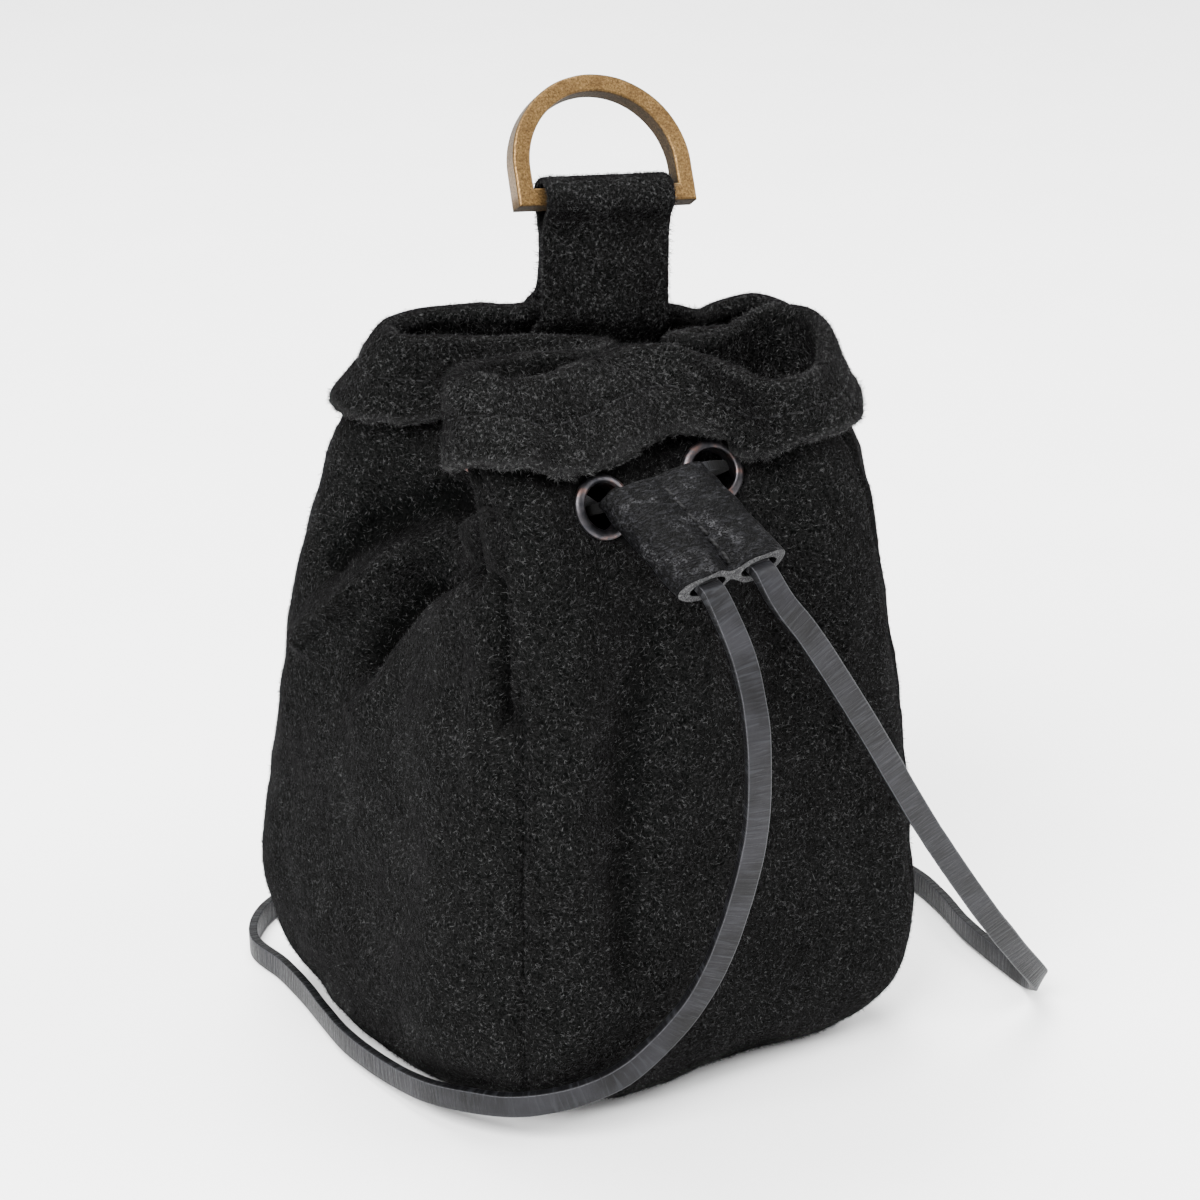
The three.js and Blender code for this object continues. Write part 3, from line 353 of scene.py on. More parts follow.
# Painted shade: the inner faces and the underside of the bar are darkened, dulled and made less metallic.
ringShade = stored(tree, "painted_shade")
tone = mixed(tree, ringShade, tone, ramp(tree, cast, [(0.40, "#0d0a06"), (0.62, "#2c2317")]))
tree.links.new(tone, bsdf.inputs["Base Color"])
tree.links.new(ramp(tree, ringShade, [(0.0, 1.0), (0.8, 0.1)]), bsdf.inputs["Metallic"])
dull = mixed(tree, ringShade, ramp(tree, cast, [(0.3, 0.50), (0.7, 0.34)]), "#f0f0f0")
tree.links.new(dull, bsdf.inputs["Roughness"])
tree.links.new(bump(tree, cast, 0.06, 0.5), bsdf.inputs["Normal"])

# Brass eyelet, black nickel plated and set with a die: dark, with a copper tint where
# the plating is thin.
blackNickel, tree, bsdf, place = newMaterial("black_nickel_plate", {"Metallic": 1.0, "Roughness": 0.42})
cloud = grain(tree, place, 3.5, 4.0, 0.6)
tone = ramp(tree, cloud, [(0.35, "#2a2a2d"), (0.52, "#3d3b3d"), (0.68, "#5f4944")])
tree.links.new(tone, bsdf.inputs["Base Color"])
tree.links.new(ramp(tree, grain(tree, place, 0.8, 4.0), [(0.3, 0.34), (0.7, 0.52)]), bsdf.inputs["Roughness"])
tree.links.new(bump(tree, cloud, 0.05, 0.4), bsdf.inputs["Normal"])

# Waxed polyester thread, twisted.
thread, tree, bsdf, place = newMaterial("waxed_twisted_thread", {"Roughness": 0.7, "IOR": 1.54,
                                        "Specular IOR Level": 0.1})
twist = addNode(tree, "ShaderNodeTexWave", {"bands_direction": "DIAGONAL", "Scale": 1 / (2.4 * mm),
                "Distortion": 1.0}, {"Vector": place}).outputs["Fac"]
tree.links.new(ramp(tree, twist, [(0.2, "#060606"), (0.8, "#151516")]), bsdf.inputs["Base Color"])
tree.links.new(bump(tree, twist, 0.1, 0.7), bsdf.inputs["Normal"])
print("materials made")


# The pouch's surface. The sizes are those of the CAD part, in millimetres.
pouch = {
    "side": 110, "height": 153.5, "leather": 1.8, "seamLap": 0.25, "seamShift": 0.045,
    "cuffDepth": 19, "cuffGap": 0.5, "cuffFlare": 0.7, "shallower": 7.5, "columns": 100, "wallRows": 112,
}
half = pouch["side"] / 2

# Round the gathered mouth: place along its wall, x, y, height, as shares.
mouth = {
    "front": [(0.00, -0.665, -0.390, 1.003), (0.06, -0.665, -0.458, 1.000), (0.13, -0.618, -0.498, 0.993),
              (0.22, -0.520, -0.512, 0.990), (0.32, -0.390, -0.500, 0.990), (0.42, -0.178, -0.395, 0.986),
              (0.53, 0.054, -0.335, 0.982), (0.62, 0.205, -0.430, 0.978), (0.71, 0.267, -0.601, 0.972),
              (0.80, 0.305, -0.755, 0.964), (0.89, 0.420, -0.790, 0.961)],
    "right": [(0.00, 0.612, -0.690, 0.956), (0.10, 0.770, -0.500, 0.970), (0.20, 0.830, -0.290, 0.980),
              (0.28, 0.775, -0.170, 0.974), (0.36, 0.635, -0.165, 0.964), (0.44, 0.459, -0.205, 0.958),
              (0.50, 0.350, -0.115, 0.956), (0.57, 0.430, -0.035, 0.950), (0.67, 0.600, -0.020, 0.943),
              (0.79, 0.765, -0.020, 0.938), (0.91, 0.920, -0.010, 0.944)],
    "back": [(0.00, 1.000, 0.100, 0.944), (0.09, 0.950, 0.213, 0.943), (0.21, 0.800, 0.225, 0.940),
             (0.33, 0.610, 0.175, 0.938), (0.45, 0.370, 0.205, 0.966), (0.56, 0.115, 0.260, 0.982),
             (0.67, -0.090, 0.315, 0.988), (0.79, -0.240, 0.385, 0.985), (0.91, -0.410, 0.440, 0.982)],
    "left": [(0.00, -0.545, 0.432, 0.977), (0.09, -0.575, 0.322, 0.974), (0.19, -0.450, 0.245, 0.971),
             (0.28, -0.277, 0.205, 0.964), (0.38, -0.103, 0.130, 0.961), (0.46, 0.060, 0.010, 0.958),
             (0.50, 0.095, -0.085, 0.958), (0.55, 0.015, -0.165, 0.964), (0.64, -0.137, -0.178, 0.971),
             (0.76, -0.307, -0.183, 0.980), (0.88, -0.460, -0.223, 0.990), (0.95, -0.590, -0.300, 1.000)],
}
wallNames = ["front", "right", "back", "left"]
stations = np.array([(index + row[0], *row[1:])
                     for index, wall in enumerate(wallNames) for row in mouth[wall]])
# Turn round the pouch, height where the lean starts, even share, lateness of the rest.
leaning = np.array([(0.0, 0.58, 0.35, 3.2), (0.5, 0.42, 0.15, 3.4), (1.0, 0.38, 0.45, 4.5),
                    (1.5, 0.42, 0.25, 2.4), (2.0, 0.38, 0.40, 5.0), (2.5, 0.40, 0.25, 2.4),
                    (3.0, 0.28, 0.55, 5.5), (3.5, 0.46, 0.45, 1.9)])
# Height, half width, corner radius, belly of the side walls, as shares.
levels = np.array([(0.000, 0.720, 0.52, 0.075), (0.006, 0.782, 0.50, 0.075), (0.018, 0.842, 0.48, 0.070),
                   (0.040, 0.900, 0.46, 0.062), (0.070, 0.948, 0.44, 0.048), (0.110, 0.982, 0.42, 0.030),
                   (0.160, 1.000, 0.41, 0.015), (0.260, 0.984, 0.40, 0.000), (0.420, 0.962, 0.38, 0.000),
                   (0.650, 0.936, 0.34, 0.000), (1.000, 0.905, 0.32, 0.000)])
# Folds: from, height there, to, height there, push outwards, breadth.
folds = [(0.00, 0.93, 0.00, 0.80, 0.110, 0.110), (3.52, 0.86, 3.10, 0.60, 0.055, 0.075),
         (3.62, 0.88, 3.30, 0.72, -0.050, 0.060), (3.88, 0.80, 3.86, 0.62, -0.075, 0.060),
         (0.30, 0.74, 0.55, 0.50, 0.018, 0.120), (0.78, 0.78, 0.70, 0.45, -0.022, 0.100)]
cornerSoftness = np.array([1.15, 0.52, 0.80, 0.90])
wallBelly = np.array([0, 0.6, 0, 1])


# Reads one column of some rows between their keys with a smooth curve.
def lookUp(rows, column, at, loop=0.0):
    keys, values = rows[:, 0], rows[:, column]
    if loop:
        at = np.mod(at, loop)
        keys = np.concatenate([keys[-2:] - loop, keys, keys[:2] + loop])
        values = np.concatenate([values[-2:], values, values[:2]])
    else:
        keys = np.concatenate([keys[:1], keys, keys[-1:]])
        values = np.concatenate([values[:1], values, values[-1:]])
    slopes = np.zeros(len(keys))
    slopes[1:-1] = (values[2:] - values[:-2]) / (keys[2:] - keys[:-2])
    i = np.clip(np.searchsorted(keys, at, side="right") - 1, 1, len(keys) - 3)
    span = keys[i + 1] - keys[i]
    t = np.clip((at - keys[i]) / span, 0, 1)
    return ((2 * t**3 - 3 * t**2 + 1) * values[i] + (t**3 - 2 * t**2 + t) * span * slopes[i]
            + (3 * t**2 - 2 * t**3) * values[i + 1] + (t**3 - t**2) * span * slopes[i + 1])


def boxPoint(turn, width, corner, belly):
    wrapped = np.mod(turn, 4)
    index = np.minimum(wrapped.astype(int), 3)
    part = wrapped - index
    along = part + pouch["seamShift"] * np.where(index == 0, 1 - part, np.where(index == 3, part, 0))
    first = corner * cornerSoftness[index]
    second = corner * cornerSoftness[(index + 1) % 4]
    arcA, arcB = first * math.pi / 4, second * math.pi / 4
    straight = 2 * width - first - second
    run = along * (arcA + straight + arcB)
    angleA = math.pi / 4 - run / first
    angleB = (run - arcA - straight) / second
    inA, inB = run < arcA, run >= arcA + straight
    x = np.where(inA, -width + first - first * np.sin(angleA),
                 np.where(inB, width - second + second * np.sin(angleB), -width + first + run - arcA))
    y = np.where(inA, -width + first - first * np.cos(angleA),
                 np.where(inB, -width + second - second * np.cos(angleB), -width))
    y = y - belly * wallBelly[index] * np.sin(math.pi * np.minimum(along, 1)) ** 2
    quarter = index * math.pi / 2
    return x * np.cos(quarter) - y * np.sin(quarter), x * np.sin(quarter) + y * np.cos(quarter)


def softPoint(turn, up):
    start, even, late = [lookUp(leaning, k, turn, 4) for k in (1, 2, 3)]
    lean = np.maximum((up - start) / (1 - start), 0)
    soft = 0.16
    early = lean * lean / (2 * soft) / (1 - soft / 2)
    steady = np.where(lean < soft, early, (lean - soft / 2) / (1 - soft / 2))
    share = even * steady + (1 - even) * lean ** late
    boxX, boxY = boxPoint(turn, *[lookUp(levels, k, up) for k in (1, 2, 3)])
    x = boxX + (lookUp(stations, 1, turn, 4) - boxX) * share
    y = boxY + (lookUp(stations, 2, turn, 4) - boxY) * share
    z = pouch["height"] * up * lookUp(stations, 3, turn, 4)
    return np.stack([x * half, y * half, z + 0 * x], -1)


def foldedPoint(turn, up):
    turn, up = np.broadcast_arrays(np.asarray(turn, float), np.asarray(up, float))
    point = softPoint(turn, up)
    push = np.zeros(turn.shape)
    for start, startUp, end, endUp, amount, breadth in folds:
        dx, dy = end - start, endUp - startUp
        relX = turn - start
        relX = relX - 4 * np.round(relX / 4)
        relY = up - startUp
        along = np.clip((relX * dx + relY * dy) / (dx * dx + dy * dy), 0, 1)
        away = np.hypot(relX - along * dx, relY - along * dy) / breadth
        push += amount * half * np.exp(-away * away) * (1 - 0.5 * along)
    across = softPoint(turn + 0.02, up) - softPoint(turn - 0.02, up)
    upward = softPoint(turn, np.minimum(up + 0.02, 1)) - softPoint(turn, up - 0.02)
    return point + unit(np.cross(across, upward)) * push[..., None]


columnUps = 1 - np.arange(65) / 64


def columnLengths(turns):
    points = foldedPoint(turns[:, None], columnUps[None, :])
    steps = np.linalg.norm(np.diff(points, axis=1), axis=2)
    return np.concatenate([np.zeros((len(turns), 1)), np.cumsum(steps, axis=1)], axis=1)


# Points at a distance down the leather from the top edge; one row of downs for each turn.
def measuredPoint(turns, downs):
    lengths = columnLengths(turns)
    ups = np.array([np.interp(downs[k], lengths[k], columnUps) for k in range(len(turns))])
    return foldedPoint(turns[:, None], ups)


# One point of a surface, at a turn round the pouch and a distance below the rim.
def pointOn(surface, turn, down):
    return surface(np.array([turn]), np.array([[float(down)]]))[0, 0]


def normalAt(surface, turn, down, stepTurn=0.05, stepDown=5):
    alongU = pointOn(surface, turn + stepTurn, down) - pointOn(surface, turn - stepTurn, down)
    alongV = pointOn(surface, turn, down + stepDown) - pointOn(surface, turn, down - stepDown)
    return unit(np.cross(alongV, alongU))


strap = {"width": 28, "leather": 1.6, "rise": 24.9, "lean": 8, "turn": 10, "tilt": 4, "tuck": 13,
         "place": 2.50, "clear": 0.3}
eyelet = {"hole": 9, "flange": 13, "lip": 1.0, "barrel": 0.6, "spacing": 33, "gussetSpacing": 17, "drop": 26,
          "middle": [0.425, 0.5, 0.49, 0.5], "parts": 64}


def radians(degrees):
    return degrees * math.pi / 180


strapAcross = unit(np.array([math.cos(radians(strap["turn"])), -math.sin(radians(strap["turn"])),
                             -math.tan(radians(strap["tilt"]))]))


def pressOnto(points, turns, downs, spot):
    across = turns[:, None] - spot["turn"]
    across = (across - 4 * np.round(across / 4)) * pouch["side"]
    under = downs - spot["down"]
    weight = ((1 - smooth(spot["wide"], spot["wide"] + spot["fade"], np.abs(across)))
              * (1 - smooth(0, spot["fade"], np.maximum(-spot["above"] - under, under - spot["below"]))))
    off = ((points - spot["centre"]) * spot["normal"]).sum(-1)
    return points - spot["normal"] * (off * weight)[..., None]


strapSpot = {"turn": strap["place"], "down": strap["tuck"] / 2, "wide": strap["width"] / 2 + 2,
             "above": strap["tuck"] / 2 + 2, "below": pouch["cuffDepth"] - strap["tuck"] / 2 + 2, "fade": 12}
strapSpot["centre"] = pointOn(measuredPoint, strapSpot["turn"], strapSpot["down"])
strapNormal = normalAt(measuredPoint, strapSpot["turn"], strapSpot["down"])
strapNormal = unit(strapNormal - strapAcross * (strapNormal @ strapAcross))
strapSpot["normal"] = strapNormal


def strapPoint(turns, downs):
    return pressOnto(measuredPoint(turns, downs), turns, downs, strapSpot)


eyeletSpots = []
for index, wall in enumerate(wallNames):
    spacing = eyelet["gussetSpacing"] if index % 2 else eyelet["spacing"]
    for letter, sign in (("a", -1), ("b", 1)):
        turn = index + eyelet["middle"][index] + sign * spacing / 2 / pouch["side"]
        spot = {"node": f"eyelet_{wall}_{letter}", "wall": index, "turn": turn, "down": eyelet["drop"],
                "wide": 7.4 if index % 2 else 7.8, "above": 7.8, "below": 7.8, "fade": 1 if index % 2 else 4}
        spot["centre"] = pointOn(strapPoint, turn, spot["down"])
        spot["normal"] = normalAt(strapPoint, turn, spot["down"])
        eyeletSpots.append(spot)


def wallPoint(turns, downs):
    points = strapPoint(turns, downs)
    for spot in eyeletSpots:
        points = pressOnto(points, turns, downs, spot)
    return points


def gridNormals(points):
    alongU = np.gradient(points, axis=0)
    alongV = np.gradient(points, axis=1)
    return unit(np.cross(alongV, alongU))


# Creases that the cord draws in the suede: how far each pushes the leather out or in, its
# breadth, and the places that it runs through, as turns round the pouch and millimetres
# below the rim.
creases = [
    (-5.0, 7.0, [(3.86, 29), (3.42, 38), (3.28, 43), (3.20, 52)]),
    (5.0, 5.5, [(3.84, 34), (3.42, 49), (3.27, 60), (3.16, 70)]),
    (-6.5, 5.5, [(3.86, 41), (3.62, 50), (3.47, 61), (3.40, 74)]),
    (3.5, 7.0, [(3.84, 50), (3.68, 57), (3.56, 70), (3.46, 88)]),
    (-4.5, 3.0, [(3.965, 44), (3.955, 56), (3.965, 70)]),
    (1.6, 3.5, [(3.89, 52), (3.88, 66), (3.90, 84)]),
    (-2.0, 6.0, [(0.62, 40), (0.66, 58), (0.64, 80)]),
    (1.6, 8.0, [(0.46, 50), (0.43, 66), (0.42, 88)]),
    (-3.0, 8.0, [(0.34, 52), (0.26, 74), (0.23, 100), (0.24, 122)]),
    (1.8, 8.0, [(0.14, 46), (0.10, 70), (0.09, 100)]),
    (1.8, 6.0, [(0.80, 34), (0.84, 54), (0.82, 78)]),
    (-3.5, 6.0, [(1.16, 34), (1.40, 52), (1.50, 70)]),
    (3.0, 6.0, [(1.20, 46), (1.38, 64), (1.44, 86)]),
    (-3.0, 6.0, [(1.80, 36), (1.64, 52), (1.56, 72)]),
    (-2.5, 7.0, [(2.22, 34), (2.30, 56), (2.28, 80)]),
    (2.5, 8.0, [(2.70, 36), (2.76, 60), (2.72, 84)]),
]


def creasePush(points, turns):
    push = np.zeros(points.shape[:2])
    for height, breadth, through in creases:
        places = np.array(through, float)
        line = wallPoint(places[:, 0], places[:, 1:])[:, 0]
        near = np.full(points.shape[:2], 1e3)
        for segment, (a, b) in enumerate(zip(line[:-1], line[1:])):
            along = np.clip(((points - a) @ (b - a)) / ((b - a) @ (b - a)), 0, 1)
            away = np.linalg.norm(points - a - along[..., None] * (b - a), axis=-1)
            share = (segment + along) / (len(line) - 1)
            near = np.minimum(near, away * (1 + 0.5 * share))
        first, last = places[:, 0].min() - 0.2, places[:, 0].max() + 0.2
        beside = smooth(0, 0.1, turns - first) * smooth(0, 0.1, last - turns)
        push += height * np.exp(-(near / breadth) ** 2) * beside[:, None]
    return push


# One wall: the face that is seen, the face behind it, and the turned cuff.
def wallSheets(index):
    edge = -pouch["seamLap"] / pouch["side"]
    step = (1 - 2 * edge) / (pouch["columns"] - 1)
    # A spare column past each seam keeps the neighbours' edges parallel; it is dropped below.
    turns = index + edge + step * np.arange(-1, pouch["columns"] + 1)
    length = columnLengths(turns)[:, -1]
    # Rows stand closer near the rim, where the cuff's shade falls.
    shares = np.linspace(1, 0, pouch["wallRows"] + 1)[:-1] ** 1.15
    downs = shares[None, :] * length[:, None]
    # The hem was turned less deep round the right front corner.
    shallow = smooth(0.68, 0.84, turns) * (1 - smooth(1.28, 1.45, turns))
    cuffDepths = (pouch["cuffDepth"] - pouch["shallower"] * shallow)[:, None]
    wall = wallPoint(turns, downs)
    normals = gridNormals(wall)
    normals = -normals if (normals[:, :, :2] * wall[:, :, :2]).sum(-1)[:, :40].mean() < 0 else normals
    fromSeam = np.minimum(turns - index, index + 1 - turns)[:, None] * pouch["side"]
    # The seam pulls the leather in, and the hide is never quite flat.
    pull = -1.2 * np.exp(-(fromSeam / 1.2) ** 2) * smooth(0, 12, length[:, None] - downs)
    waves = 1.1 * lumps(wall, 24.0) + 0.5 * lumps(wall, 8.0, 5.0) + 0.16 * lumps(wall, 2.2, 9.0)
    calm = np.ones(downs.shape)
    crease = creasePush(wall, turns) * smooth(0, 16, downs) * smooth(0, 6, fromSeam + 3.2)
    for spot in eyeletSpots:
        away = np.linalg.norm(wall - spot["centre"], axis=-1)
        calm = np.minimum(calm, smooth(6.8, 10, away))
    calm = calm * smooth(0, 10, length[:, None] - downs) * smooth(0, 3, downs)
    face = wall + normals * (pull + (waves + crease) * calm)[..., None]
    behind = wall + normals * (crease * calm - pouch["leather"])[..., None]
    low = smooth(0, 3, length[:, None] - downs)[..., None]
    behind = behind * low + (wall + np.array([0, 0, pouch["leather"]])) * (1 - low)
    facing, backing = [face], [behind]

    rimDowns = np.repeat(np.linspace(0, 3, 7)[None, :], len(turns), 0)
    rim = wallPoint(turns, rimDowns)
    rimNormal = gridNormals(rim)[:, 2]
    rimNormal = rimNormal * np.sign((rimNormal * normals[:, -2]).sum(-1))[:, None]
    upward = unit(rim[:, 0] - rim[:, -1])
    sag = 0.35 * lumps(rim[:, 0], 9.0, 3.0)[:, None]
    centre = rim[:, 0] + rimNormal * pouch["cuffGap"] / 2
    for angle in np.linspace(0, math.pi, 11):
        ray = -rimNormal * math.cos(angle) + upward * math.sin(angle)
        facing.append((centre + ray * pouch["cuffGap"] / 2)[:, None])
        outer = pouch["cuffGap"] / 2 + pouch["leather"] + sag * math.sin(angle)
        backing.append((centre + ray * outer)[:, None])

    cuffShares = np.linspace(0, 1, 23)[1:]
    cuffDowns = cuffShares[None, :] * cuffDepths
    rimLine = np.stack([turns * pouch["side"], 0 * turns, 0 * turns], 1)
    ragged = 0.7 * lumps(rimLine, 3.2, 7.0) + 0.35 * lumps(rimLine, 0.9, 2.0)
    cuffDowns = cuffDowns + ragged[:, None] * (cuffShares[None, :] ** 4)
    cuff = wallPoint(turns, cuffDowns)
    cuffNormals = gridNormals(cuff)
    cuffNormals = cuffNormals * np.sign((cuffNormals * rimNormal[:, None]).sum(-1))[..., None]
    beside = np.abs(turns - strap["place"]) * pouch["side"] if index == 2 else np.full(len(turns), 99.0)
    loose = smooth(17, 30, beside)[:, None]
    stand = pouch["cuffGap"] + pouch["cuffFlare"] * cuffShares ** 2 + 1.5 * cuffShares ** 3 * loose
    curl = 0.5 * lumps(cuff, 11.0, 4.0) * cuffShares[None, :]
    stitch = -0.45 * np.exp(-((cuffDowns - 9.0) / 1.1) ** 2)
    waves = 0.30 * lumps(cuff, 5.0, 11.0) + 0.12 * lumps(cuff, 1.5, 13.0) + stitch
    thin = 1 - 0.35 * smooth(0.93, 1.0, cuffShares)[None, :]
    lift = np.maximum(stand + curl, 0.25)
    facing.append(cuff + cuffNormals * lift[..., None])
    backing.append(cuff + cuffNormals * (lift + pouch["leather"] * thin + waves)[..., None])
    facing, backing = np.concatenate(facing, 1)[1:-1], np.concatenate(backing, 1)[1:-1]
    # Each edge is skived and tucked into its neighbour's, so that no light comes through the seam.
    for column in (0, -1):
        front, rear = facing[column].copy(), backing[column].copy()
        facing[column] = front * 0.8 + rear * 0.2
        backing[column] = rear * 0.8 + front * 0.2
    # Painted shade: dark on the inside of the cuff and its roll, on the wall behind and just under the cuff,
    # and in the hollows of the creases; fewer fibres lie there on the wall too.
    painted_shade = np.ones(facing.shape[:2])
    creaseShade = 0.7 * smooth(0.15, 0.9, -crease * calm / 5)
    underCuffShade = 0.9 * (1 - smooth(-2, 5, downs - cuffDepths))
    painted_shade[:, :downs.shape[1]] = np.maximum(underCuffShade, creaseShade)[1:-1]
    return facing, backing, painted_shade


wallNodes = ["front_panel", "right_gusset", "back_panel", "left_gusset"]
# How far the leather is cut away round the middle of an eyelet: radius, in front, behind.
cutAway = {"radius": 5.3, "front": 0.45, "behind": 3.2}
sheets = []
for index, name in enumerate(wallNodes):
    facing, backing, painted_shade = wallSheets(index)
    sheets.append((facing, backing, painted_shade))
    columns, rows = facing.shape[:2]
    points = np.concatenate([side.transpose(1, 0, 2).reshape(-1, 3) for side in (facing, backing)])
    faces = np.array(sheetFaces(rows, columns))
    middles = points[faces].mean(1)
    keep = np.ones(len(faces), bool)
    # The leather is cut away inside each eyelet.
    for spot in eyeletSpots:
        if spot["wall"] != index:
            continue
        rel = middles - spot["centre"]
        off = rel @ spot["normal"]
        inside = np.linalg.norm(rel - off[:, None] * spot["normal"], axis=1) < cutAway["radius"]
        keep &= ~(inside & (off < cutAway["front"]) & (off > -cutAway["behind"]))
    piece = makePiece(name + "_suede", points, faces[keep].tolist(), suede)
    raw = np.zeros(painted_shade.shape)
    raw[:, -3:] = [0.3, 1.0, 1.0]
    # Painted shade on the seen face, none on the face behind.
    store(piece, "painted_shade", [painted_shade.T, 0 * painted_shade.T])
    store(piece, "raw", [raw.T, raw.T])
    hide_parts(name)
print("walls made")

# The base: a thin cut of the same suede with its edge rolled a little.
steps = 120
turns = np.linspace(0, 4, steps, endpoint=False)
baseInset = 0.012
rings = []
for share, z in ((0.9, 0.25), (0.985, 0.35), (1.0, 0.9), (0.985, 1.6), (0.9, 1.75)):
    x, y = boxPoint(turns, np.full(steps, (levels[0][1] - baseInset) * share),
                    np.full(steps, levels[0][2] * share), np.full(steps, levels[0][3] * share))
    rings.append(np.stack([x * half, y * half, np.full(steps, z)], 1))
base = makePiece("base_suede", np.concatenate(rings), tubeFaces(len(rings), steps), suede)
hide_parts("base_panel")


# The fibres' length, width and lift, how far they stay from the middle and the plane of an
# eyelet, and how much less densely they lie where shade is painted on the nap.
fibre = {"length": (0.6, 2.3), "width": 0.085, "lift": 0.25,
         "clear": 6.4, "clearHeight": 4.5, "thinning": 0.85}


# Loose fibres lying on grids of points: each is a curled ribbon of two faces. No fibre
# stands in an eyelet. The nap lies in brushed patches, with strays.
def fibresOn(name, grids, counts, seed, material):
    rng = np.random.default_rng(seed)
    allPoints, allFaces, start = [], [], 0
    for (grid, normals, thin), count in zip(grids, counts):
        across = grid.shape[1] - 1
        cellU = grid[1:, :-1] - grid[:-1, :-1]
        cellV = grid[:-1, 1:] - grid[:-1, :-1]
        area = np.linalg.norm(np.cross(cellU, cellV), axis=-1) * (1 - fibre["thinning"] * thin[1:, 1:])
        area = area.ravel()
        cell = rng.choice(len(area), count, p=area / area.sum())
        i, j = cell // across, cell % across
        u, v = rng.random((2, count, 1))
        base = (grid[i, j] * (1 - u) * (1 - v) + grid[i + 1, j] * u * (1 - v)
                + grid[i, j + 1] * (1 - u) * v + grid[i + 1, j + 1] * u * v)
        normal = normals[i, j]
        side = unit(cellU[i, j])
        clear = np.ones(count, bool)
        for spot in eyeletSpots:
            rel = base - spot["centre"]
            off = rel @ spot["normal"]
            beside = np.linalg.norm(rel - off[:, None] * spot["normal"], axis=1)
            clear &= (beside > fibre["clear"]) | (np.abs(off) > fibre["clearHeight"])
        base, normal, side, count = base[clear], normal[clear], side[clear], int(clear.sum())
        other = np.cross(normal, side)
        angle = 5 * lumps(base, 13.0, 50.0)[:, None] + rng.normal(0, 1.0, (count, 1))
        heading = side * np.cos(angle) + other * np.sin(angle)
        turned = angle + rng.normal(0, 0.9, (count, 1))
        bent = side * np.cos(turned) + other * np.sin(turned)
        size = rng.uniform(*fibre["length"], (count, 1))
        rise = rng.uniform(0.3, 1.7, (count, 1)) * fibre["lift"]
        width = fibre["width"] * rng.uniform(0.6, 1.3, (count, 1))
        across = np.cross(normal, heading)
        root = base - normal * 0.05
        middle = base + heading * size * 0.5 + normal * (0.06 + rise * 0.5)
        tip = middle + bent * size * 0.5 + normal * rise * 0.6
        corners = np.stack([root - across * width / 2, root + across * width / 2,
                            middle + across * width / 2, middle - across * width / 2, tip], 1)
        allPoints.append(corners.reshape(-1, 3))
        first = start + np.arange(count) * 5
        allFaces += np.stack([first, first + 1, first + 2, first + 3], 1).tolist()
        allFaces += np.stack([first + 3, first + 2, first + 4], 1).tolist()
        start += count * 5
    piece = makePiece(name, np.concatenate(allPoints), allFaces, material)
    return piece


def outwardNormals(grid, like):
    normals = gridNormals(grid)
    return normals * np.where((normals * like).sum(-1) < 0, -1, 1)[..., None]


# How many lie on the outside, on the cuff, in the mouth and on the cuff's raw edge.
napCounts = {"front_panel": (46000, 15000, 6000, 3600), "right_gusset": (21000, 9000, 7000, 2400),
             "back_panel": (20000, 10000, 4000, 2400), "left_gusset": (46000, 12000, 4000, 3000)}
for index, name in enumerate(wallNodes):
    facing, backing, painted_shade = sheets[index]
    rows = pouch["wallRows"]
    grids = []
    outward = unit(facing - backing)
    low = facing[:, :rows - 8]
    grids.append((low, outwardNormals(low, outward[:, :rows - 8]), painted_shade[:, :rows - 8]))
    turned = backing[:, rows:]
    grids.append((turned, outwardNormals(turned, -outward[:, rows:]), 0 * painted_shade[:, rows:]))
    # The flesh side, inside the mouth, is hairier; its paler fibres are painted light that lifts the shaded
    # lining.
    lining = backing[:, rows - 34:rows]
    inside = (lining, outwardNormals(lining, -outward[:, rows - 34:rows]), np.zeros(lining.shape[:2]))
    # The raw edge of the cuff is the fuzziest place.
    face, back = facing[:, -1], backing[:, -1]
    fringe = np.stack([face, (face + back) / 2, back, backing[:, -2]], 1)
    edge = (fringe, outwardNormals(fringe, fringe - facing[:, -6:-5]), np.zeros(fringe.shape[:2]))
    counts = [c for c in napCounts[name]]
    fibresOn(name + "_nap", grids, counts[:2], 20 + index, napFibres)
    fibresOn(name + "_hair", [inside, edge], counts[2:], 30 + index, paleFibres)
print("nap laid")

# Stitches round the cuff: short, sunk into the nap.
cuffStitch = {"pitch": 3.9, "length": 2.5, "radius": 0.28, "down": 9.0, "start": 0.7, "sunk": 0.08}


def stitchAlong(name, starts, ends, radius, material):
    points, faces = [], []
    for a, b in zip(starts, ends):
        a, b = np.array(a, float), np.array(b, float)
        along = unit(b - a)
        side = unit(np.cross(along, [0.31, 0.22, 0.92]))
        other = np.cross(along, side)
        offset = len(points)
        for share, size in ((-0.06, 0.35), (0.05, 0.85), (0.5, 1.0), (0.95, 0.85), (1.06, 0.35)):
            centre = a + (b - a) * share
            for k in range(8):
                angle = k * math.pi / 4
                points.append(centre + (side * math.cos(angle) + other * math.sin(angle)) * radius * size)
        faces += [tuple(offset + f for f in face) for face in tubeFaces(5, 8)]
    return makePiece(name, np.array(points), faces, material)


starts, ends = [], []
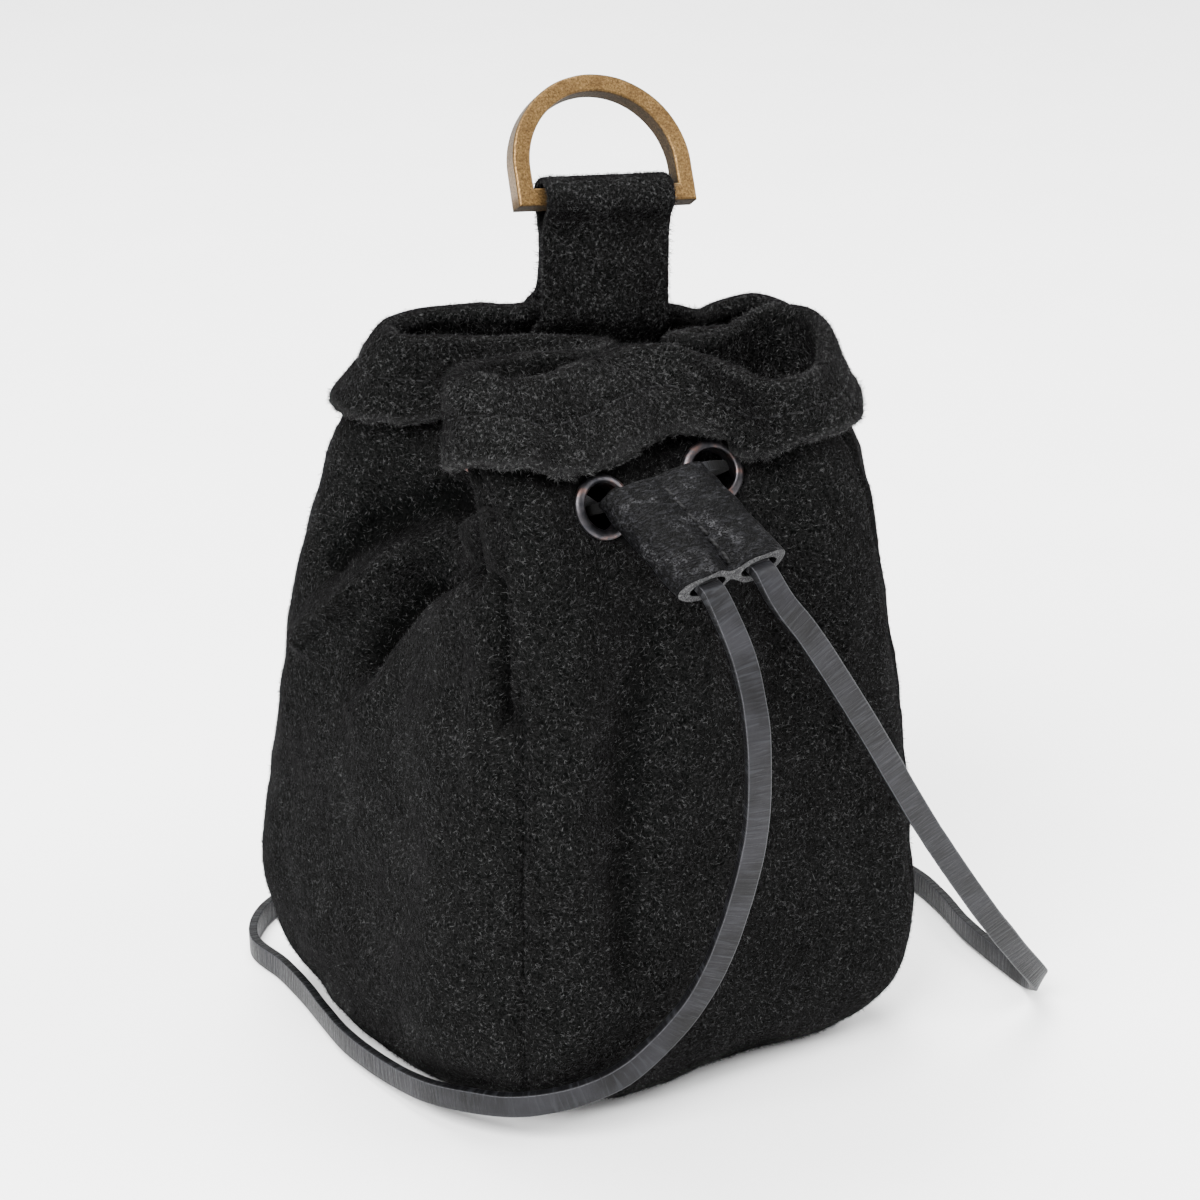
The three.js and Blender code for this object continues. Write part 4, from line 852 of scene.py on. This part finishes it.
# The cuff's rows begin after the wall and the roll of the rim.
cuffStart = pouch["wallRows"] + 11
cuffRow = cuffStart + int(round(cuffStitch["down"] / pouch["cuffDepth"] * 22)) - 1
for facing, backing, painted_shade in sheets:
    line = backing[:, cuffRow]
    sunk = line - unit(line - facing[:, cuffRow]) * cuffStitch["sunk"]
    run = runAlong(line)
    for k in range(int(run[-1] / cuffStitch["pitch"])):
        at = k * cuffStitch["pitch"] + cuffStitch["start"]
        for ending, reached in ((starts, at), (ends, at + cuffStitch["length"])):
            ending.append(np.array([np.interp(reached, run, sunk[:, c]) for c in range(3)]))
cuffSeam = stitchAlong("cuff_stitches", starts, ends, cuffStitch["radius"], thread)
print("stitches sewn")

# Eyelets: a rounded flange in front, a rolled edge behind, a barrel between.
for spot in eyeletSpots:
    hole, flange = eyelet["hole"] / 2, eyelet["flange"] / 2
    back = -pouch["leather"] - 0.3
    profile = [(hole, back - 0.5), (hole + 0.5, back - 0.85), (hole + 1.2, back - 0.85),
               (flange - 0.25, back - 0.35), (flange, back - 0.05), (hole + eyelet["barrel"], back),
               (hole + eyelet["barrel"], 0.28), (flange, 0.28), (flange + 0.02, 0.48),
               (flange - 0.08, 0.72), (flange - 0.35, 0.98), (flange - 0.8, 1.18), (flange - 1.3, 1.27),
               (hole + 0.3, 1.2), (hole + 0.08, 0.98), (hole, 0.6)]
    normal = unit(spot["normal"])
    side = unit(np.cross(normal, [0, 0, 1]))
    other = np.cross(normal, side)
    points = []
    for radius, offset in profile:
        for k in range(eyelet["parts"]):
            angle = 2 * math.pi * k / eyelet["parts"]
            points.append(spot["centre"] + (side * math.cos(angle) + other * math.sin(angle)) * radius
                          + normal * offset)
    faces = ringFaces(len(profile), eyelet["parts"], loop=True)
    ring = makePiece(spot["node"] + "_metal", np.array(points), faces, blackNickel)
    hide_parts(spot["node"])
print("eyelets set")

# The belt strap: one strip from outside the rim, round the ring's bar and down inside.
ringSize = {"inner": 32, "band": 3.7, "depth": 4.7, "height": 27.6, "lean": 32, "clearance": 0.35,
            "bevel": 0.5, "seenBevel": 0.46}
rimPlace = pointOn(wallPoint, strapSpot["turn"], 0)
backward = unit(np.cross([0, 0, 1], strapAcross))


def leaningBack(degrees):
    way = np.array([0, 0, math.cos(radians(degrees))]) + backward * math.sin(radians(degrees))
    return unit(way - strapAcross * (way @ strapAcross))


strapUp = leaningBack(strap["lean"])
strapOut = -unit(np.cross(strapAcross, strapUp))
clear = strap["clear"]
barCentre = rimPlace + strapUp * strap["rise"] - strapNormal * (pouch["leather"] + 1.5 * clear)
barCorner = math.hypot(ringSize["depth"] / 2, ringSize["band"] / 2 - ringSize["bevel"])
loopRadius = barCorner + ringSize["clearance"] + strap["leather"] / 2
downLeg = unit(pointOn(wallPoint, strapSpot["turn"], strap["tuck"]) - rimPlace)
insideLeg = -(pouch["leather"] + 2 * clear + strap["leather"] / 2)
outsideLeg = pouch["cuffGap"] + pouch["cuffFlare"] + pouch["leather"] + clear + strap["leather"] / 2
neck = strap["leather"] / 2 + clear / 2


def legPoint(offset, along):
    return rimPlace + strapNormal * offset + downLeg * along


def neckPoint(offset, share):
    return barCentre - strapUp * strap["rise"] * share + strapOut * offset


rimRoll = pouch["leather"] + pouch["cuffGap"] / 2 + 1
path = [legPoint(outsideLeg, strap["tuck"]), legPoint(outsideLeg, strap["tuck"] * 0.4),
        legPoint(outsideLeg, -rimRoll / 3), neckPoint(neck * 1.5, 0.64), neckPoint(neck, 0.52),
        neckPoint(neck * 1.1, 0.3), neckPoint(neck * 1.6, 0.2)]
opening = math.asin(min(neck / loopRadius, 1)) + 0.35
for k in range(15):
    angle = -math.pi / 2 + opening + (2 * math.pi - 2 * opening) * k / 14
    path.append(barCentre + strapOut * math.cos(angle) * loopRadius + strapUp * math.sin(angle) * loopRadius)
path += [neckPoint(-neck * 1.6, 0.2), neckPoint(-neck * 1.1, 0.3), neckPoint(-neck, 0.52),
         neckPoint(-neck, 0.75), neckPoint(-neck, 0.97), legPoint(insideLeg, strap["tuck"] * 0.4),
         legPoint(insideLeg, strap["tuck"])]
centres, across, tangents = curveThrough(path, [strapAcross] * len(path), 4)
away = unit(np.cross(across, tangents))
acrossShares = np.linspace(-0.5, 0.5, 41)
outerRows, innerRows = [], []
for centre, wide, off in zip(centres, across, away):
    row = centre + wide * (acrossShares * strap["width"])[:, None]
    edge = 0.35 * smooth(0.47, 0.5, np.abs(acrossShares))
    waves = 0.14 * lumps(row, 7.0, 21.0) + 0.06 * lumps(row, 1.5, 23.0)
    ragged = 0.12 * lumps(row, 2.0, 27.0) * (np.abs(acrossShares) > 0.49)
    row = row + wide * ragged[:, None]
    outerRows.append(row - off * (strap["leather"] / 2 - edge + waves)[:, None])
    innerRows.append(row + off * (strap["leather"] / 2 - edge)[:, None])
outerRows, innerRows = np.array(outerRows), np.array(innerRows)
faces = sheetFaces(len(centres), len(acrossShares))
points = np.concatenate([innerRows.reshape(-1, 3), outerRows.reshape(-1, 3)])
strapPiece = makePiece("belt_strap_suede", points, faces, suede)
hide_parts("belt_strap")
outward = outwardNormals(outerRows, unit(outerRows - innerRows))
strapGrids = [(outerRows, outward, np.zeros(outerRows.shape[:2]))]
for side, way in ((0, -1), (-1, 1)):
    inner, outer = innerRows[:, side], outerRows[:, side]
    strip = np.stack([inner, (inner + outer) / 2, outer], 1)
    strapGrids.append((strip, np.broadcast_to(strapAcross * way, strip.shape), np.zeros(strip.shape[:2])))
counts = [c for c in (15000, 900, 900)]
fibresOn("belt_strap_nap", strapGrids, counts, 41, napFibres)
print("strap sewn")

# The D-ring: a flat brass section with chamfered edges, bent to a D and closed.
ringUp = leaningBack(ringSize["lean"])
ringFace = unit(np.cross(strapAcross, ringUp))
ringPath = []
reach = ringSize["inner"] / 2 + ringSize["band"] / 2
topStart = ringSize["height"] - ringSize["band"] / 2 - (ringSize["inner"] / 2 + ringSize["band"])
for k in range(25):
    ringPath.append((-reach + 2 * reach * k / 24, 0.0))
for k in range(1, 7):
    ringPath.append((reach, topStart * k / 7))
for k in range(73):
    angle = math.pi * k / 72
    ringPath.append((reach * math.cos(angle), topStart + reach * math.sin(angle)))
for k in range(1, 7):
    ringPath.append((-reach, topStart - topStart * k / 7))
ringPath = np.array(ringPath)
before = unit(ringPath - np.roll(ringPath, 1, 0))
after = unit(np.roll(ringPath, -1, 0) - ringPath)
# The corners are mitred, so the offset there is longer.
along = unit(before + after)
outwardWay = np.stack([along[:, 1], -along[:, 0]], 1) / (along * before).sum(1)[:, None]
section = []
halfBand, halfDepth, bevel = ringSize["band"] / 2, ringSize["depth"] / 2, ringSize["seenBevel"]
corners = []
for signA, signB in ((1, -1), (1, 1), (-1, 1), (-1, -1)):
    corner = [(halfBand * signA, (halfDepth - bevel) * signB),
              ((halfBand - bevel * 0.3) * signA, (halfDepth - bevel * 0.3) * signB),
              ((halfBand - bevel) * signA, halfDepth * signB)]
    corners.append(corner if signA * signB > 0 else corner[::-1])
for corner, following in zip(corners, corners[1:] + corners[:1]):
    section += corner
    (a0, b0), (a1, b1) = corner[-1], following[0]
    section += [(a0 + (a1 - a0) * t, b0 + (b1 - b0) * t) for t in (0.18, 0.5, 0.82)]
around = len(section)
points = []
for bend, way in zip(ringPath, outwardWay):
    for a, b in section:
        flat = bend + way * a
        points.append(barCentre + strapAcross * flat[0] + ringUp * flat[1] + ringFace * b)
points = np.array(points)
points += unit(points - barCentre) * (0.06 * lumps(points, 5.0, 31.0))[:, None]
faces = ringFaces(len(ringPath), around, loop=True)
ringPiece = makePiece("d_ring_brass", points, faces, agedBrass, "ring", softEdges=False)
# Painted shade on the inside of the ring and under its bar.
sideways = np.array([a for a, b in section])
ringShade = np.repeat(0.9 * (sideways < 0.03 - halfBand)[None, :], len(ringPath), 0)
ringShade[:25] += 0.9 * (sideways > halfBand - 0.03)
store(ringPiece, "painted_shade", ringShade)
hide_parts("d_ring")
print("ring cast")

# The slider: leather folded round both strands and stitched between them.
slider = {"width": 25.5, "length": 25, "thickness": 7, "pitch": 12.4, "lap": 1.2,
          "top": (-10.4, -45.8, 133.1), "aim": (2.5, -22.5, -10.5), "side": (24.5, 0, 1.2)}
sliderSide = unit(np.array(slider["side"], float))
sliderAim = unit(np.array(slider["aim"], float))
sliderFlat = unit(np.cross(sliderSide, sliderAim))
sliderX = np.cross(sliderAim, sliderFlat)
sliderTop = np.array(slider["top"], float)


def sliderPoint(x, y, z):
    return sliderTop + sliderX * x + sliderAim * y + sliderFlat * z


def channelPoint(sign, along):
    return sliderPoint(sign * slider["pitch"] / 2, along, 0)


reachX, thick = slider["width"] / 2, slider["thickness"] / 2


# Each half is an oval round its strand; the two meet in a waist under the stitches.
def ovalPoint(x, share):
    ax = abs(x) / reachX
    deep = 0.86 - 0.36 * smooth(0.5, 1.0, share)
    waist = deep + (1 - deep) * smooth(0.03, 0.34, ax)
    ends = np.sqrt(np.maximum(1 - np.clip((ax - 0.52) / 0.48, 0, 1) ** 2.4, 0))
    return thick * waist * ends


outlineX = reachX * np.cos(np.linspace(0, math.pi, 61))
sides = 2 * len(outlineX) - 2
sliderLap = slider["lap"]
outline = np.concatenate([outlineX, outlineX[1:-1][::-1]])
rings = []
for share in np.linspace(0, 1, 60):
    lip = 1 - 0.06 * math.exp(-((1 - share) / 0.03) ** 2) - 0.16 * math.exp(-(share / 0.16) ** 2)
    at = share * (slider["length"] + sliderLap) - sliderLap
    # The cut edge is not quite straight: each half bows out over its strand.
    overStrand = np.clip((np.abs(outline) / reachX - 0.5) * math.pi, -1.6, 1.6)
    bow = 0.7 * smooth(0.6, 1.0, share) * np.cos(overStrand)
    z = ovalPoint(outline, share) * lip * np.where(np.arange(sides) < len(outlineX), 1, -1)
    rings.append([sliderPoint(x, at + out - 0.35, height) for x, out, height in zip(outline, bow, z)])
rings = np.array(rings)
middle = rings.mean(1, keepdims=True)
outward = unit(rings - middle)
groove = np.exp(-(outline / 0.9) ** 2)[None, :]
rumple = 0.45 * lumps(rings, 5.0, 41.0) + 0.16 * lumps(rings, 2.0, 42.0) + 0.06 * lumps(rings, 0.8, 43.0)
rings += outward * (rumple - 0.3 * groove)[..., None]
points = rings.reshape(-1, 3).tolist()
faces = ringFaces(len(rings), sides)
# The channels, and the cut ends between them and the outside.
channel = {"sides": 28, "halfWidth": 4.3, "halfHeight": 1.95}
channelSides = channel["sides"]
channelStart = {}
for sign in (-1, 1):
    for end, edgeAt in enumerate((-sliderLap - 0.5, slider["length"] + 0.2)):
        channelStart[(sign, end)] = len(points)
        for k in range(channelSides):
            angle = 2 * math.pi * k / channelSides
            x = sign * slider["pitch"] / 2 + channel["halfWidth"] * math.cos(angle)
            points.append(sliderPoint(x, edgeAt, channel["halfHeight"] * math.sin(angle)).tolist())
    for k in range(channelSides):
        a, b = channelStart[(sign, 0)] + k, channelStart[(sign, 0)] + (k + 1) % channelSides
        c, d = channelStart[(sign, 1)] + (k + 1) % channelSides, channelStart[(sign, 1)] + k
        faces.append((a, d, c, b))
sliderPiece = makePiece("slider_leather", np.array(points), faces, grainLeather)
sliderPiece.data.materials.append(cutEdge)
shape = bmesh.new()
shape.from_mesh(sliderPiece.data)
shape.verts.ensure_lookup_table()
for end, first in ((0, 0), (1, (len(rings) - 1) * sides)):
    loops = [[first + j for j in range(sides)]]
    loops += [[channelStart[(sign, end)] + k for k in range(channelSides)] for sign in (-1, 1)]
    edges = []
    for loop in loops:
        for a, b in zip(loop, loop[1:] + loop[:1]):
            va, vb = shape.verts[a], shape.verts[b]
            edges.append(shape.edges.get((va, vb)) or shape.edges.new((va, vb)))
    filled = bmesh.ops.triangle_fill(shape, use_beauty=True, use_dissolve=False, edges=edges)
    for item in filled["geom"]:
        if isinstance(item, bmesh.types.BMFace):
            item.material_index = 1
bmesh.ops.recalc_face_normals(shape, faces=shape.faces)
shape.to_mesh(sliderPiece.data)
shape.free()
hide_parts("slider")

sliderStitch = {"count": 6, "start": 2.2, "pitch": 3.7, "length": 2.5, "radius": 0.42, "sunk": 0.25}
starts, ends = [], []
for k in range(sliderStitch["count"]):
    at = sliderStitch["start"] + k * sliderStitch["pitch"]
    waist = 0.84 - 0.3 * smooth(0.5, 1.0, at / slider["length"])
    for flat in (-1, 1):
        starts.append(sliderPoint(0, at, flat * (thick * 0.78 - sliderStitch["sunk"])))
        deep = flat * (thick * waist - sliderStitch["sunk"])
        ends.append(sliderPoint(0, at + sliderStitch["length"], deep))
sliderSeam = stitchAlong("slider_stitches", starts, ends, sliderStitch["radius"], thread)
print("slider sewn")

# The lace. Its section is flat with rounded edges.
lace = {"width": 5.0, "thickness": 2.0}
laceSection, laceAcross, laceRound = [], [], 0.35
for cornerX, cornerY, first in ((1, 1, 0), (-1, 1, 90), (-1, -1, 180), (1, -1, 270)):
    for k in range(4):
        angle = radians(first + 30 * k)
        laceSection.append((cornerX * (lace["width"] / 2 - laceRound) + laceRound * math.cos(angle),
                            cornerY * (lace["thickness"] / 2 - laceRound) + laceRound * math.sin(angle)))
        # 0.8 is the crisp edge between face and side, and 1 the side.
        laceAcross.append(cornerX * (0.72 + 0.28 * abs(math.cos(angle)) ** 2))


def makeLace(name, points, wides, steps, seed):
    centres, across, tangents = curveThrough(points, wides, steps)
    thin = np.cross(tangents, across)
    run = runAlong(centres)
    rings = []
    for centre, wide, off, at in zip(centres, across, thin, run):
        swell = 1 + 0.03 * noise.noise(Vector((at / 7, seed, 0)))
        twist = 0.10 * noise.noise(Vector((at / 30, seed, 5)))
        wide, off = wide + off * twist, off - wide * twist
        rings.append([centre + wide * a * swell + off * b for a, b in laceSection])
    rings = np.array(rings)
    sides = len(laceSection)
    piece = makePiece(name, rings.reshape(-1, 3), tubeFaces(len(rings), sides), laceLeather)
    layer = piece.data.uv_layers.new(name="along")
    loops = np.zeros(len(piece.data.loops), int)
    piece.data.loops.foreach_get("vertex_index", loops)
    uv = np.stack([run[loops // sides], np.array(laceAcross)[loops % sides]], 1)
    layer.data.foreach_set("uv", uv.ravel())
    near = np.min([np.linalg.norm(centres - spot["centre"], axis=1) for spot in eyeletSpots], axis=0)
    # Painted shade: the lace darkens where it passes near the eyelets.
    store(piece, "painted_shade", np.repeat(1 - smooth(5, 10, near), sides))
    return piece, centres


def heldRoute():
    clearOut = lace["thickness"] / 2 + eyelet["lip"] + clear
    points = [channelPoint(1, along) for along in (slider["length"], slider["length"] / 2, 0, -1.5)]
    wides = [sliderSide] * 4
    for step, index in enumerate([1, 2, 3, 4, 5, 6, 7, 0]):
        spot = eyeletSpots[index]
        wide = sliderSide if spot["wall"] == 0 else np.array([0, 0, 1.0])
        wide = unit(wide - spot["normal"] * (wide @ spot["normal"]))
        offsets = [clearOut, -pouch["leather"] / 2, -pouch["leather"] - clearOut]
        for offset in offsets[::-1] if step % 2 else offsets:
            points.append(spot["centre"] + spot["normal"] * offset)
            wides.append(wide)
    for along in (-1.5, 0, slider["length"] / 2, slider["length"]):
        points.append(channelPoint(-1, along))
        wides.append(sliderSide)
    return points, wides


held, _ = makeLace("drawstring_lace", *heldRoute(), 8, 3)
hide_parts("drawstring")

# The free loop: places that the lace passes, and the way its width lies.
laceRoute = [
    (-12.4, -72, 117.3, 1, 0, 0.05), (-8.9, -73.5, 107.7, 0.98, -0.15, 0),
    (-7.6, -76, 96.8, 0.97, -0.25, 0), (-7, -76.5, 87.3, 0.97, -0.25, 0),
    (-6.3, -75, 71.5, 0.97, -0.25, 0), (-7.3, -71.5, 55.2, 0.95, -0.25, -0.15),
    (-9.8, -67.5, 40.2, 0.9, -0.2, -0.35), (-13.5, -64, 29.6, 0.8, -0.15, -0.55),
    (-19.3, -60.2, 20.5, 0.6, -0.1, -0.8), (-26.1, -58.6, 15.5, 0.35, -0.1, -0.93),
    (-34.2, -56, 12.5, 0.2, 0, -0.97), (-40.6, -51.5, 10.2, 0.12, 0, -1), (-45.6, -47, 9, 0.06, 0, -1),
    (-49.8, -41.3, 8.3, 0, 0, -1), (-54.2, -30.4, 6.6, 0, 0, -1), (-55.8, -16.9, 4.8, 0, 0, -1),
    (-56.4, 0.5, 3.9, 0, 0, -1), (-55, 13.4, 3.6, 0, 0, -1), (-53.2, 25, 3.2, 0, 0, -1),
    (-52, 38, 2.8, 0, 0, -1), (-52, 52, 2.7, 0, 0, -1), (-43, 64, 2.7, 0, 0, -1),
    (-25, 71, 2.7, 0, 0, -1), (0, 74, 2.7, 0, 0, -1), (28, 72, 2.7, 0, 0, -1), (55, 63, 2.7, 0, 0, -1),
    (76, 45, 2.7, 0, 0, -1), (87, 23, 2.7, 0, 0, -1), (91, 0, 2.9, 0, 0, -1), (89.3, -13.3, 3, 0, 0, -1),
    (85.6, -28, 3, 0, 0, -1), (83.6, -44.5, 3, 0, 0.05, -1), (83, -53, 3.2, -0.1, 0.1, -0.98),
    (80.5, -59, 6.6, -0.45, 0.2, -0.85), (70.6, -63.5, 17.6, -0.7, 0.27, -0.65),
    (57.1, -67, 34, -0.8, 0.28, -0.53), (38.4, -70, 60, -0.82, 0.25, -0.48),
    (20.5, -72, 88.2, -0.85, 0.2, -0.4), (6.9, -72, 109, -0.92, 0.1, -0.25),
    (1.2, -71.4, 116.6, -0.98, 0, -0.1),
]
freePoints = [channelPoint(-1, slider["length"] + beyond) for beyond in (clear, 2)]
freePoints += [np.array(row[:3], float) for row in laceRoute]
freePoints += [channelPoint(1, slider["length"] + beyond) for beyond in (2, clear)]
freeWides = [sliderSide] * 2 + [np.array(row[3:]) for row in laceRoute] + [-sliderSide] * 2
free, freeCentres = makeLace("lace_loop_leather", freePoints, freeWides, 8, 8)
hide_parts("lace_loop")

# The table, and soft light from a large window on the left and a paler one on the right.
card, tree, bsdf, place = newMaterial("matt_white_card", {"Roughness": 0.9, "Specular IOR Level": 0.1})
tree.links.new(ramp(tree, grain(tree, place, 60.0, 2.0), [(0.3, "#fafafa"), (0.7, "#fdfdfd")]),
               bsdf.inputs["Base Color"])
bpy.ops.mesh.primitive_plane_add(size=6.0, location=(0, 0, 0))
floor = bpy.context.active_object
floor.name = "table_top"
floor.data.materials.append(card)

lights = {
    "window_left": {"place": (-0.9, -0.5, 1.1), "size": 0.8, "power": 70, "target": (0, 0, 0.08)},
    "window_right": {"place": (1.0, -0.6, 0.9), "size": 0.8, "power": 22, "target": (0, 0, 0.08)},
    "above": {"place": (0.1, 0.5, 1.3), "size": 0.9, "power": 45, "target": (0, 0, 0.1)},
}
for name, light in lights.items():
    data = bpy.data.lights.new(name, "AREA")
    data.shape = "SQUARE"
    data.size = light["size"]
    data.energy = light["power"]
    lamp = bpy.data.objects.new(name, data)
    lamp.location = light["place"]
    bpy.context.scene.collection.objects.link(lamp)
    aimAt(lamp, light["target"])
world = bpy.data.worlds.new("studio")
world.use_nodes = True
background = world.node_tree.nodes["Background"].inputs
background["Color"].default_value = (1, 1, 1, 1)
background["Strength"].default_value = 1.3
bpy.context.scene.world = world
